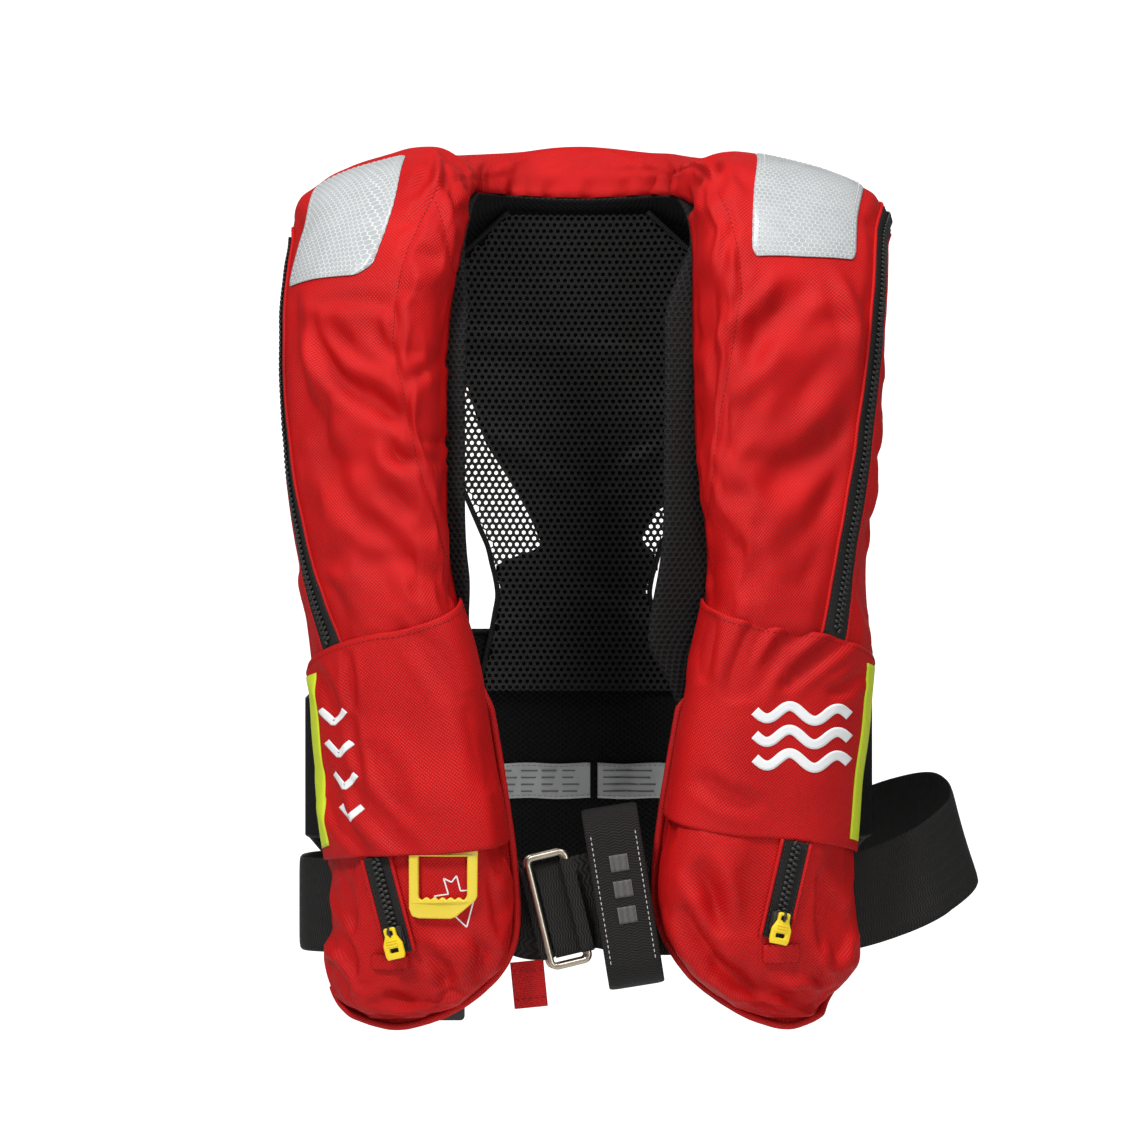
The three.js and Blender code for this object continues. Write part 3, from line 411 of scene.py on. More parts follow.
def make_finishes():
    # Each dark and light pair spans the cloth's own uneven tone and the painted shade in its weave's hollows.
    red_dark, red_light = (0.27, 0.0, 0.001), (0.70, 0.007, 0.007)
    black, black_light = (0.0015, 0.0014, 0.0013), (0.016, 0.015, 0.014)
    return {
        "red": cover_cloth("cover_cloth", red_dark, red_light),
        "red_cord": cover_cloth("edge_cord_cloth", (0.26, 0.001, 0.003), (0.66, 0.01, 0.009)),
        "lining": mesh_cloth("lining_mesh", 3.2 * MM, 0.007),
        "waist": mesh_cloth("waist_mesh", 2.4 * MM, 0.003),
        "backing": mesh_cloth("backing_knit", 1.6 * MM, 0.003),
        "net": net_cord(),
        "webbing": ribbed_webbing("belt_webbing", black, black_light),
        "red_webbing": ribbed_webbing("tab_webbing", (0.28, 0.002, 0.004), (0.62, 0.012, 0.012), 1.1 * MM),
        "tape": zip_tape_cloth(),
        "teeth": moulded("zip_teeth", (0.007, 0.007, 0.007), (0.028, 0.027, 0.026), 0.42),
        "yellow": moulded("yellow_plastic", (0.80, 0.56, 0.006), (0.93, 0.70, 0.012), 0.36, coat=0.2),
        "handle": moulded("handle_plastic", (0.72, 0.53, 0.03), (0.86, 0.68, 0.06), 0.4, coat=0.15),
        "black": moulded("black_plastic", (0.008, 0.008, 0.008), (0.03, 0.03, 0.03), 0.45),
        "film": reflective_film(),
        "fluoro": fluorescent_tape(),
        "label": label_cloth(),
        "bladder": moulded("bladder_cloth", (0.75, 0.28, 0.03), (0.86, 0.40, 0.06), 0.5, 0.002),
        "steel": satin_steel("buckle_steel", (0.36, 0.31, 0.24), (0.56, 0.50, 0.41)),
        "gas": satin_steel("gas_steel", (0.25, 0.28, 0.27), (0.4, 0.43, 0.42), 0.4),
        "red_thread": thread("red_thread", (0.32, 0.002, 0.004), (0.62, 0.02, 0.02)),
        "dark_thread": thread("dark_red_thread", (0.12, 0.001, 0.002), (0.28, 0.004, 0.005)),
        "pale_thread": thread("pale_thread", (0.45, 0.44, 0.42), (0.7, 0.69, 0.66)),
        "grey_thread": thread("grey_thread", (0.2, 0.2, 0.2), (0.38, 0.37, 0.36)),
        "tack": tack_thread(),
        "black_thread": thread("black_thread", (0.012, 0.012, 0.012), (0.05, 0.05, 0.05)),
        "white_print": moulded("white_print", (0.78, 0.79, 0.80), (0.88, 0.89, 0.90), 0.5, 0.0009, 0.08 * MM),
        "grey_print": moulded("grey_print", (0.10, 0.10, 0.10), (0.17, 0.17, 0.17), 0.6),
    }


# ---- the lobes' surface, as the model has it ----

FORWARD = (0, -1, 0)
LEFT_STATIONS = [
    ((-84, -87, -431), (-112, -80, -432), 12, FORWARD),
    ((-62, -84, -420), (-131, -66, -420), 26, FORWARD),
    ((-43, -82, -401), (-137, -60, -401), 36, FORWARD),
    ((-37, -82, -375), (-134, -56, -375), 44, FORWARD),
    ((-42, -84, -322), (-139, -54, -322), 48, FORWARD),
    ((-55, -86, -245), (-145, -52, -245), 48, FORWARD),
    ((-69, -86, -190), (-152, -50, -190), 46, FORWARD),
    ((-71, -82, -125), (-159, -46, -125), 44, FORWARD),
    ((-70, -72, -60), (-161, -40, -60), 42, (0, -1, 0.1)),
    ((-62, -52, -10), (-158, -18, -22), 38, (0, -0.88, 0.47)),
    ((-57, -12, 14), (-153, 6, -12), 34, (-0.15, -0.25, 0.95)),
    ((-52, 28, 18), (-128, 62, -18), 36, (-0.2, 0.1, 0.97)),
    ((-34, 50, 18), (-78, 106, -28), 42, (-0.08, 0.18, 0.97)),
]
COLLAR_STATION = ((0, 56, 17), (0, 118, -30), 46, (0, 0.2, 0.98))
RIGHT_STATIONS = [
    ((100, -87, -431), (124, -81, -431), 12, FORWARD),
    ((79, -84, -420), (133, -68, -420), 26, FORWARD),
    ((58, -82, -402), (150, -60, -402), 36, FORWARD),
    ((44, -82, -372), (148, -56, -372), 44, FORWARD),
    ((47, -84, -322), (149, -54, -322), 48, FORWARD),
    ((60, -86, -245), (157, -52, -245), 48, FORWARD),
    ((68, -86, -190), (155, -50, -190), 46, FORWARD),
    ((62, -82, -125), (161, -46, -125), 44, FORWARD),
    ((61, -72, -60), (166, -40, -60), 42, (0, -1, 0.1)),
    ((60, -52, -10), (168, -18, -22), 38, (0, -0.88, 0.47)),
    ((55, -12, 12), (166, 6, -12), 34, (0.15, -0.25, 0.95)),
    ((48, 28, 17), (134, 62, -18), 36, (0.2, 0.1, 0.97)),
    ((32, 50, 18), (80, 106, -28), 42, (0.08, 0.18, 0.97)),
]
STATIONS = [*LEFT_STATIONS, COLLAR_STATION, *reversed(RIGHT_STATIONS)]
LAST = len(STATIONS) - 1
COLLAR = len(LEFT_STATIONS)
FULLNESS = 0.7
INNER = np.array([s[0] for s in STATIONS]) * MM
OUTER = np.array([s[1] for s in STATIONS]) * MM
STANDOFF = np.array([[s[2]] for s in STATIONS]) * MM
UPWARD = np.array([s[3] for s in STATIONS], float)


def smooth_step(x, low, high):
    t = np.clip((x - low) / (high - low), 0, 1)
    return t * t * (3 - 2 * t)


def unit(v):
    return v / np.maximum(np.linalg.norm(v, axis=-1, keepdims=True), 1e-12)


def catmull(points, t):
    """An even Catmull-Rom curve through points, at t counted in points."""
    points = np.asarray(points, float)
    t = np.clip(np.asarray(t, float), 0, len(points) - 1)
    ends = np.vstack([2 * points[0] - points[1], points, 2 * points[-1] - points[-2]])
    i = np.minimum(np.floor(t).astype(int), len(points) - 2)
    w = (t - i)[..., None]
    p0, p1, p2, p3 = (ends[i + k] for k in range(4))
    t0, t1 = (p2 - p0) / 2, (p3 - p1) / 2
    return p1 + t0 * w + (-3 * p1 + 3 * p2 - 2 * t0 - t1) * w**2 + (2 * p1 - 2 * p2 + t0 + t1) * w**3


def lobe(u, a, h=1.0):
    """u counts stations, a runs from the inner edge to the outer one, and h from the lining to the cover."""
    u, a = np.broadcast_arrays(np.asarray(u, float), np.asarray(a, float))
    cosine = np.cos(np.pi * a)
    across = (0.5 - 0.5 * np.sign(cosine) * np.abs(cosine) ** FULLNESS)[..., None]
    rise = h * catmull(STANDOFF, u) * (np.maximum(np.sin(np.pi * a), 0) ** FULLNESS)[..., None]
    base = catmull(INNER, u) * (1 - across) + catmull(OUTER, u) * across
    return base + unit(catmull(UPWARD, u)) * rise


def lobe_out(u, a):
    step = 0.004
    inside = np.clip(a, 2 * step, 1 - 2 * step)
    low = np.clip(np.asarray(u, float) - step, 0, LAST - 2 * step)
    along = lobe(low + 2 * step, inside) - lobe(low, inside)
    across = lobe(u, inside + step) - lobe(u, inside - step)
    return unit(np.cross(along, across))


def from_foot(side, t):
    return t if side == "left" else LAST - t


def spot(side, x, z):
    """Where the cover's front shows points of the front view, in mm, as (u, a)."""
    x, z = (np.asarray(v, float) * MM for v in (x, z))
    low = np.full(x.shape, 0.0 if side == "left" else float(LAST))
    high = np.full(x.shape, COLLAR - 2.8 if side == "left" else COLLAR + 2.8)

    def share(u):
        inner, outer = catmull(INNER, u)[..., 0], catmull(OUTER, u)[..., 0]
        across = np.clip((x - inner) / (outer - inner), 0.001, 0.999)
        cosine = np.sign(1 - 2 * across) * np.abs(1 - 2 * across) ** (1 / FULLNESS)
        return np.arccos(cosine) / np.pi

    for _ in range(40):
        middle = (low + high) / 2
        below = lobe(middle, share(middle))[..., 2] < z
        low, high = np.where(below, middle, low), np.where(below, high, middle)
    return low, share(low)


# ---- mesh makers ----


def link(name, mesh, material):
    piece = bpy.data.objects.new(name, mesh)
    bpy.context.scene.collection.objects.link(piece)
    mesh.materials.clear()
    mesh.materials.append(material)
    return piece


def face_outwards(mesh):
    shell = bmesh.new()
    shell.from_mesh(mesh)
    bmesh.ops.recalc_face_normals(shell, faces=shell.faces)
    shell.to_mesh(mesh)
    shell.free()


def lengths_along(points):
    """How far along a line each of its points is."""
    return np.concatenate([[0], np.cumsum(np.linalg.norm(np.diff(points, axis=0), axis=1))])


def cloth_lengths(points):
    """Distances along a grid's rows and columns, as (rows, columns, 2), for the cloth coordinates."""
    down = np.linalg.norm(np.diff(points, axis=0), axis=-1)
    over = np.linalg.norm(np.diff(points, axis=1), axis=-1)
    v = np.zeros(points.shape[:2])
    u = np.zeros(points.shape[:2])
    v[1:] = np.cumsum(down.mean(1))[:, None]
    u[:, 1:] = np.cumsum(over.mean(0))[None]
    return np.stack([u, v], -1)


def mesh_from(name, points, faces, coordinates, smooth=True):
    mesh = bpy.data.meshes.new(name)
    mesh.from_pydata([tuple(p) for p in points], [], [tuple(int(i) for i in f) for f in faces])
    layer = mesh.uv_layers.new(name="cloth")
    corner = np.zeros(len(mesh.loops), int)
    mesh.loops.foreach_get("vertex_index", corner)
    layer.data.foreach_set("uv", np.asarray(coordinates, np.float32)[corner].ravel())
    mesh.polygons.foreach_set("use_smooth", [smooth] * len(mesh.polygons))
    mesh.update()
    return mesh


def quads(rows, columns, start=0, flip=False, close_columns=False):
    i = np.arange(rows - 1)[:, None]
    j = np.arange(columns if close_columns else columns - 1)[None]
    k = (j + 1) % columns
    corners = [i * columns + j, (i + 1) * columns + j, (i + 1) * columns + k, i * columns + k]
    made = np.stack(np.broadcast_arrays(*corners), -1).reshape(-1, 4) + start
    return made[:, ::-1] if flip else made


def closing_quads(rows, columns):
    """What joins a closed sweep's last ring to its first."""
    last = (rows - 1) * columns
    return [(last + i, i, (i + 1) % columns, last + (i + 1) % columns) for i in range(columns)]


def sheet_piece(name, points, material, thickness, outwards=None):
    """A sheet through a grid of points, given its thickness on the side away from outwards."""
    normals = grid_normals(points)
    if outwards is not None and np.mean((normals * outwards).sum(-1)) < 0:
        points = points[::-1]
        normals = -normals[::-1]
    rows, columns = points.shape[:2]
    under = points - normals * thickness
    uv = cloth_lengths(points).reshape(-1, 2)
    count = rows * columns
    border = np.concatenate(
        [
            np.arange(columns),
            np.arange(1, rows) * columns + columns - 1,
            (rows - 1) * columns + np.arange(columns - 2, -1, -1),
            np.arange(rows - 2, 0, -1) * columns,
        ]
    )
    after = np.roll(border, -1)
    rim = np.stack([border, after, after + count, border + count], -1)
    faces = np.vstack([quads(rows, columns), quads(rows, columns, count, True), rim])
    both = np.concatenate([points.reshape(-1, 3), under.reshape(-1, 3)])
    return link(name, mesh_from(name, both, faces, np.vstack([uv, uv])), material)


def grid_normals(points):
    down = np.gradient(points, axis=0)
    over = np.gradient(points, axis=1)
    return unit(np.cross(down, over))


def rolled(points, normals, drop):
    """The grid with its border let down by drop, so that an edge reads as folded cloth."""
    edge = np.zeros(points.shape[:2])
    edge[0] = edge[-1] = edge[:, 0] = edge[:, -1] = 1
    return points - normals * (edge * drop)[..., None]


def tube(name, route, radius, material, sides=12, ripple=0.0):
    """A closed cord along a list of points."""
    route = np.asarray(route, float)
    along = unit(np.gradient(route, axis=0))
    side = unit(np.cross(along, (0.13, -0.9, 0.31)))
    for i in range(1, len(route)):  # carried along the route, so that it doesn't twist
        carried = side[i - 1] - along[i] * np.dot(side[i - 1], along[i])
        side[i] = carried / np.linalg.norm(carried)
    up = np.cross(along, side)
    turn = np.arange(sides) * 2 * math.pi / sides
    lengths = lengths_along(route)
    swell = radius * (1 + ripple * np.sin(lengths / (1.7 * MM)))
    rings = route[:, None] + (
        side[:, None] * np.cos(turn)[None, :, None] + up[:, None] * np.sin(turn)[None, :, None]
    ) * swell[:, None, None]
    points = np.vstack([rings.reshape(-1, 3), route[:1], route[-1:]])
    body = quads(len(route), sides, 0, False, True)
    first, last = len(points) - 2, len(points) - 1
    turn_on = (np.arange(sides) + 1) % sides
    base = (len(route) - 1) * sides
    caps = [(first, i, j) for i, j in zip(range(sides), turn_on)]
    caps += [(last, base + j, base + i) for i, j in zip(range(sides), turn_on)]
    uv = np.stack([np.tile(turn * radius, len(route)), np.repeat(lengths, sides)], -1)
    uv = np.vstack([uv, [[0, 0], [0, lengths[-1]]]])
    mesh = mesh_from(name, points, [*body, *caps], uv)
    face_outwards(mesh)
    return link(name, mesh, material)


def polyline(points, step=1.5 * MM):
    """Points at even steps along straight stretches between the given ones."""
    points = np.asarray(points, float)
    lengths = lengths_along(points)
    count = max(2, int(lengths[-1] / step) + 1)
    at = np.linspace(0, lengths[-1], count)
    return np.stack([np.interp(at, lengths, points[:, k]) for k in range(points.shape[1])], -1)


# ---- geometry nodes: what repeats along a path ----


def new_tree(name, **inputs):
    """A tree with named inputs: gives it, what adds a node to it, and its inputs' sockets."""
    tree = bpy.data.node_groups.new(name, "GeometryNodeTree")
    tree.interface.new_socket("Geometry", in_out="OUTPUT", socket_type="NodeSocketGeometry")
    for label, kind in {"Geometry": "Geometry", **inputs, "Finish": "Material"}.items():
        tree.interface.new_socket(label, in_out="INPUT", socket_type="NodeSocket" + kind)

    def add(kind, values=None, **settings):
        """A new node with its settings and its sockets' values or links: gives its outputs."""
        made = tree.nodes.new(kind)
        for key, value in settings.items():
            setattr(made, key, value)
        for key, value in (values or {}).items():
            if isinstance(value, bpy.types.NodeSocket):
                tree.links.new(value, made.inputs[key])
            else:
                made.inputs[key].default_value = value
        return made.outputs

    return tree, add, add("NodeGroupInput")


def run_tree(tree, piece, values):
    """Runs a tree on a piece and leaves its result as the piece's plain mesh."""
    modifier = piece.modifiers.new(tree.name, "NODES")
    modifier.node_group = tree
    for item in tree.interface.items_tree:
        if item.in_out == "INPUT" and item.name in values:
            modifier[item.identifier] = values[item.name]
    graph = bpy.context.evaluated_depsgraph_get()
    mesh = bpy.data.meshes.new_from_object(piece.evaluated_get(graph))
    piece.modifiers.clear()
    old = piece.data
    piece.data = mesh
    mesh.name = piece.name
    bpy.data.meshes.remove(old)


def row_tree(name, two_sided):
    """Repeats a small rounded block along each line: a stitch, or a zip's tooth on each side in turn."""
    tree, add, start = new_tree(name, Pitch="Float", Size="Vector", Aside="Float")
    curve = add("GeometryNodeMeshToCurve", {"Mesh": start["Geometry"]})[0]
    even = add("GeometryNodeResampleCurve", {"Curve": curve, "Length": start["Pitch"]}, mode="LENGTH")[0]
    out = add("GeometryNodeInputNamedAttribute", {"Name": "out"}, data_type="FLOAT_VECTOR")[0]
    tangent = add("GeometryNodeInputTangent")[0]
    align = "FunctionNodeAlignRotationToVector"
    upright = add(align, {"Vector": out}, axis="Z")[0]
    turned = add(align, {"Rotation": upright, "Vector": tangent}, axis="X", pivot_axis="Z")[0]
    if two_sided:
        cube = add("GeometryNodeMeshCube", {"Size": start["Size"]})[0]
        block = add("GeometryNodeSubdivisionSurface", {"Mesh": cube, "Level": 1, "Edge Crease": 0.55})[0]
        index = add("GeometryNodeInputIndex")[0]
        odd = add("ShaderNodeMath", {0: index, 1: 2.0}, operation="MODULO")[0]
        swing = add("ShaderNodeMath", {0: odd, 1: 2.0, 2: -1.0}, operation="MULTIPLY_ADD")[0]
        aside = add("ShaderNodeMath", {0: swing, 1: start["Aside"]}, operation="MULTIPLY")[0]
        sideways = add("ShaderNodeVectorMath", {0: out, 1: tangent}, operation="CROSS_PRODUCT")[0]
        shift = add("ShaderNodeVectorMath", {0: sideways, "Scale": aside}, operation="SCALE")[0]
        even = add("GeometryNodeSetPosition", {"Geometry": even, "Offset": shift})[0]
    else:
        ball = add("GeometryNodeMeshUVSphere", {"Segments": 6, "Rings": 4, "Radius": 0.5})[0]
        block = add("GeometryNodeTransform", {"Geometry": ball, "Scale": start["Size"]})[0]
    placed = add("GeometryNodeInstanceOnPoints", {"Points": even, "Instance": block, "Rotation": turned})[0]
    solid = add("GeometryNodeRealizeInstances", {"Geometry": placed})[0]
    shaded = add("GeometryNodeSetShadeSmooth", {"Geometry": solid})[0]
    painted = add("GeometryNodeSetMaterial", {"Geometry": shaded, "Material": start["Finish"]})[0]
    add("NodeGroupOutput", {0: painted})
    return tree


NET_WELD = 0.05 * MM


def net_tree():
    """Turns a sheet of triangles into a net of six-sided holes."""
    tree, add, start = new_tree("net", Hole="Float")
    cells = add("GeometryNodeDualMesh", {"Mesh": start["Geometry"]})[0]
    grown = add("GeometryNodeExtrudeMesh", {"Mesh": cells, "Offset Scale": 0.0, "Individual": True}, mode="FACES")
    rims = {"Geometry": grown["Mesh"], "Selection": grown["Top"], "Scale": start["Hole"]}
    shrunk = add("GeometryNodeScaleElements", rims)[0]
    opened = add("GeometryNodeDeleteGeometry", {"Geometry": shrunk, "Selection": grown["Top"]}, domain="FACE")[0]
    joined = add("GeometryNodeMergeByDistance", {"Geometry": opened, "Distance": NET_WELD})[0]
    painted = add("GeometryNodeSetMaterial", {"Geometry": joined, "Material": start["Finish"]})[0]
    add("NodeGroupOutput", {0: painted})
    return tree


def lines_object(name, lines):
    """Loose edges along lines of (points, outward directions), for the trees that repeat things on them."""
    points, outs, edges = [], [], []
    for line, out in lines:
        start = len(points)
        points.extend(map(tuple, line))
        outs.extend(map(tuple, np.broadcast_to(out, np.shape(line))))
        edges.extend((start + i, start + i + 1) for i in range(len(line) - 1))
    mesh = bpy.data.meshes.new(name)
    mesh.from_pydata(points, edges, [])
    layer = mesh.attributes.new("out", "FLOAT_VECTOR", "POINT")
    layer.data.foreach_set("vector", np.asarray(outs, np.float32).ravel())
    piece = bpy.data.objects.new(name, mesh)
    bpy.context.scene.collection.objects.link(piece)
    return piece


STITCH = (2.1 * MM, 0.55 * MM, 0.42 * MM)
STITCH_PITCH = 2.9 * MM
TOOTH = (1.75 * MM, 3.5 * MM, 1.7 * MM)
TOOTH_PITCH = 1.5 * MM
TOOTH_ASIDE = 1.25 * MM

# ---- the covers: one grid over both lobes and the collar ----

FOOT = 0.05  # stations where the covers start and meet, counted from a lobe's foot
MIDDLE = 4.15
SHOULDER = 11
BREAKS = [FOOT, MIDDLE, SHOULDER, LAST - SHOULDER, LAST - MIDDLE, LAST - FOOT]
COVER_NAMES = ["cover_lower_left", "cover_upper_left", "collar_cover", "cover_upper_right", "cover_lower_right"]
ROWS_PER_STATION = 22
COLUMNS = 84


def cover_rows():
    parts = []
    for low, high in zip(BREAKS, BREAKS[1:]):
        count = int(round((high - low) * ROWS_PER_STATION))
        parts.append(np.linspace(low, high, count, endpoint=False))
    return np.concatenate([*parts, [BREAKS[-1]]])


ROW_U = cover_rows()
COLUMN_A = np.linspace(0, 1, COLUMNS)

# Seams in the front view, in mm.
SEAMS = {
    "left": [
        [(-77.4, 12), (-80.6, 6), (-87, -7), (-92.6, -20), (-97, -38), (-99, -54), (-99.5, -72), (-98, -80),
         (-94.3, -95), (-86.7, -133), (-75.3, -165), (-71, -184)],
        [(-77.4, 6), (-72.3, -9), (-68.6, -25), (-66, -34)],
    ],
    "right": [
        [(73.9, 12), (78.9, 2), (82.9, -10), (85.8, -26), (85.8, -44), (82.9, -61), (80.3, -80), (78, -90),
         (74.5, -106), (72, -130), (69, -150), (67, -164)],
    ],
    "collar": [
        [(-77.4, 12), (-70.5, 18), (-59.6, 22.4), (-49.5, 26.5), (-39.9, 28.8), (0, 32), (31.9, 32),
         (41.5, 31.4), (49.5, 28.4), (62, 30), (73.9, 17)],
    ],
}

# Folds in the front view: points in mm, half width in mm, height in mm, where below zero is a valley.
FOLDS = {
    "left": [
        ([(-145, -55), (-140, -70), (-129, -88), (-115, -102)], 5.0, -3.4),
        ([(-136, -56), (-128, -68), (-118, -79), (-103, -85)], 4.0, -3.2),
        ([(-112, -54), (-107, -70), (-100, -79)], 3.2, -2.6),
        ([(-142, -50), (-126, -47), (-113, -47), (-100, -51)], 3.2, -2.4),
        ([(-104, -12), (-96, -7), (-88, -6)], 3.0, -2.0),
        ([(-94, -93), (-83, -88), (-70, -79)], 2.6, -3.0),
        ([(-98, -45), (-90, -43), (-80, -43)], 2.4, -1.7),
        ([(-98, -74), (-85, -77), (-70, -76)], 2.4, -1.6),
        ([(-96, -25), (-86, -22), (-74, -24)], 2.6, -1.2),
        ([(-126, -88), (-107, -104), (-90, -115)], 6.0, -3.6),
        ([(-106, -116), (-98, -131), (-86, -135)], 3.6, -3.0),
        ([(-86, -122), (-76, -122), (-68, -124)], 2.2, -1.8),
        ([(-84, -133), (-75, -132), (-67, -134)], 2.0, -1.6),
        ([(-131, -143), (-115, -162), (-100, -176), (-85, -196)], 7.0, -2.8),
        ([(-118, -134), (-104, -150), (-88, -164)], 6.0, -2.0),
        ([(-146, -96), (-140, -120), (-128, -150)], 6.0, -1.8),
        ([(-154, -40), (-152, -80), (-148, -110)], 4.0, -2.2),
        ([(-120, -176), (-104, -196), (-98, -214)], 6.0, -1.6),
        ([(-139, -196), (-128, -206), (-121, -222)], 4.0, -1.6),
        ([(-140, -8), (-146, -22), (-150, -40)], 4.0, -1.8),
        ([(-84, 4), (-92, -4), (-100, -6)], 2.4, -1.6),
    ],
    "right": [
        ([(124, -36), (109, -50), (96, -63), (86, -81)], 7.0, -4.2),
        ([(133, -23), (145, -56), (151, -78)], 4.0, 1.8),
        ([(86, -31), (93, -28), (100, -22)], 2.4, -1.8),
        ([(90, -45), (96, -39), (100, -31)], 2.4, -2.0),
        ([(84, -62), (90, -60), (96, -56)], 2.2, -1.6),
        ([(84, -100), (97, -88), (116, -66)], 5.0, 1.6),
        ([(147, -108), (124, -130), (98, -156)], 8.0, -2.8),
        ([(150, -136), (128, -162), (106, -192)], 8.0, -2.6),
        ([(138, -168), (126, -186), (114, -204)], 6.0, -1.8),
        ([(142, -70), (122, -92), (104, -118)], 7.0, -2.0),
        ([(75, -177), (80, -179), (85, -180)], 1.8, -1.4),
        ([(90, -110), (84, -124), (76, -140)], 4.0, -1.4),
        ([(82, -4), (76, -20), (73, -40)], 3.0, -1.4),
        ([(66, -30), (66, -60), (68, -90)], 3.5, -1.6),
        ([(157, -60), (156, -100), (150, -130)], 3.6, -1.8),
        ([(96, -12), (104, -16), (108, -24)], 3.0, -1.6),
    ],
    "collar": [
        ([(49.5, 29), (47, 18), (44.7, 5)], 2.6, -3.0),
        ([(60, 20), (58, 12), (56, 1)], 2.8, -3.2),
        ([(64, 33), (70, 27), (74, 18)], 2.4, 2.2),
        ([(70, 33), (73, 29), (77, 24)], 2.6, -2.8),
        ([(40, 27), (36, 16), (35, 6)], 2.6, -1.8),
        ([(24, 28), (22, 16), (22, 6)], 3.0, -1.5),
        ([(6, 30), (4, 16), (3, 6)], 3.4, -1.4),
        ([(-14, 29), (-17, 18), (-18, 7)], 3.0, -1.5),
        ([(-34, 27), (-38, 16), (-44, 4)], 3.0, -1.8),
        ([(-52, 22), (-56, 10), (-60, 0)], 3.0, -2.2),
        ([(-70, 16), (-66, 6), (-64, -4)], 2.6, -2.2),
        ([(-77.7, 31), (-77.5, 22), (-77.4, 12)], 2.2, 2.6),
        ([(-82, 26), (-88, 14), (-92, 8)], 3.4, -2.4),
        ([(84, 24), (92, 16), (98, 8)], 3.4, -2.2),
    ],
    "foot_left": [
        ([(-136, -352), (-126, -368), (-118, -384)], 4.0, -2.0),
        ([(-134, -382), (-124, -398), (-112, -412)], 4.0, -2.0),
        ([(-128, -392), (-118, -404), (-112, -414)], 4.0, -2.2),
        ([(-86, -388), (-74, -402), (-70, -418)], 4.5, -2.0),
        ([(-58, -380), (-52, -394), (-56, -410)], 4.5, -1.8),
        ([(-104, -412), (-98, -420), (-88, -424)], 3.0, -1.6),
        ([(-52, -350), (-46, -366), (-44, -384)], 4.0, -1.5),
    ],
    "foot_right": [
        ([(62, -345), (72, -362), (78, -384)], 6.0, -2.4),
        ([(54, -368), (66, -388), (78, -404)], 5.0, -2.4),
        ([(70, -396), (88, -410), (104, -422)], 4.0, -2.2),
        ([(86, -346), (90, -364), (88, -386)], 5.0, -1.6),
        ([(128, -350), (132, -370), (134, -394)], 5.0, -2.0),
        ([(138, -362), (142, -384), (138, -404)], 3.6, -1.8),
        ([(96, -404), (104, -414), (116, -420)], 3.6, -1.8),
        ([(120, -400), (128, -408), (134, -412)], 3.4, -1.6),
    ],
}
BAND_FOLDS = {
    "left": [
        ([(-140, -242), (-133, -256), (-128, -272)], 3.2, -1.6),
        ([(-123, -234), (-121, -250), (-120, -266)], 2.6, -1.4),
        ([(-88, -222), (-76, -240), (-62, -262)], 6.0, -1.3),
        ([(-60, -256), (-54, -282), (-50, -310)], 6.0, -1.4),
        ([(-112, -282), (-100, -302), (-92, -326)], 7.0, -1.2),
        ([(-134, -296), (-128, -316), (-126, -336)], 4.0, -1.4),
        ([(-124, -298), (-106, -322), (-84, -345)], 4.5, -1.5),
        ([(-134, -312), (-122, -330), (-108, -346)], 3.6, -1.5),
        ([(-121, -268), (-118, -288), (-112, -308)], 2.6, -1.2),
    ],
    "right": [
        ([(106, -210), (92, -226), (84, -247), (80, -262)], 5.0, -2.4),
        ([(122, -219), (106, -231), (95, -247), (88, -262)], 4.5, -2.2),
        ([(147, -223), (129, -235), (114, -247), (104, -256)], 4.0, -2.0),
        ([(72, -214), (68, -232), (66, -252)], 4.0, -1.6),
        ([(150, -246), (140, -254), (130, -258)], 3.4, -1.4),
        ([(62, -300), (78, -312), (96, -318)], 5.0, -1.4),
    ],
}


def along_line(x, z, line):
    """Distance in mm from each point to a line in the front view, and how far along the line, 0 to 1."""
    line = polyline(np.asarray(line, float), 2.0)
    lengths = np.linspace(0, 1, len(line))
    best = np.full(x.shape, 1e9)
    share = np.zeros(x.shape)
    for (p, q), s in zip(zip(line, line[1:]), lengths):
        d = q - p
        t = np.clip(((x - p[0]) * d[0] + (z - p[1]) * d[1]) / (d @ d), 0, 1)
        away = np.hypot(x - p[0] - t * d[0], z - p[1] - t * d[1])
        nearer = away < best
        best = np.where(nearer, away, best)
        share = np.where(nearer, s + t * (lengths[1] - lengths[0]), share)
    return best, share


FOLD_DEPTH = 2.2


def fold_height(x, z, folds):
    """The height in metres that folds give to points of the front view, in mm."""
    height = np.zeros(x.shape)
    for line, half, tall in folds:
        away, share = along_line(x, z, line)
        fade = np.sin(np.pi * np.clip(share, 0, 1)) ** 0.6
        crest = np.exp(-((away / half) ** 1.6)) - 0.4 * np.exp(-(((away - 1.8 * half) / (0.8 * half)) ** 2))
        height += FOLD_DEPTH * tall * MM * fade * crest
    return height


def seam_height(x, z, lines):
    """A sewn groove, with the small puckers that run out of it."""
    height = np.zeros(x.shape)
    for line in lines:
        away, share = along_line(x, z, line)
        ends = (share > 0.001) & (share < 0.999)
        long = np.sum(np.linalg.norm(np.diff(np.asarray(line, float), axis=0), axis=1))
        phase = share * long
        pucker = np.sin(phase / 1.9) * 0.6 + np.sin(phase / 3.1 + 1.3) * 0.5 + np.sin(phase / 5.3 + 0.4) * 0.6
        groove = -1.5 * np.exp(-((away / 1.1) ** 2)) + 0.5 * np.exp(-(((away - 3.0) / 1.8) ** 2))
        height += MM * ends * (groove + 0.42 * pucker * np.exp(-away / 5.5) * (1 - np.exp(-((away / 1.4) ** 2))))
    return height


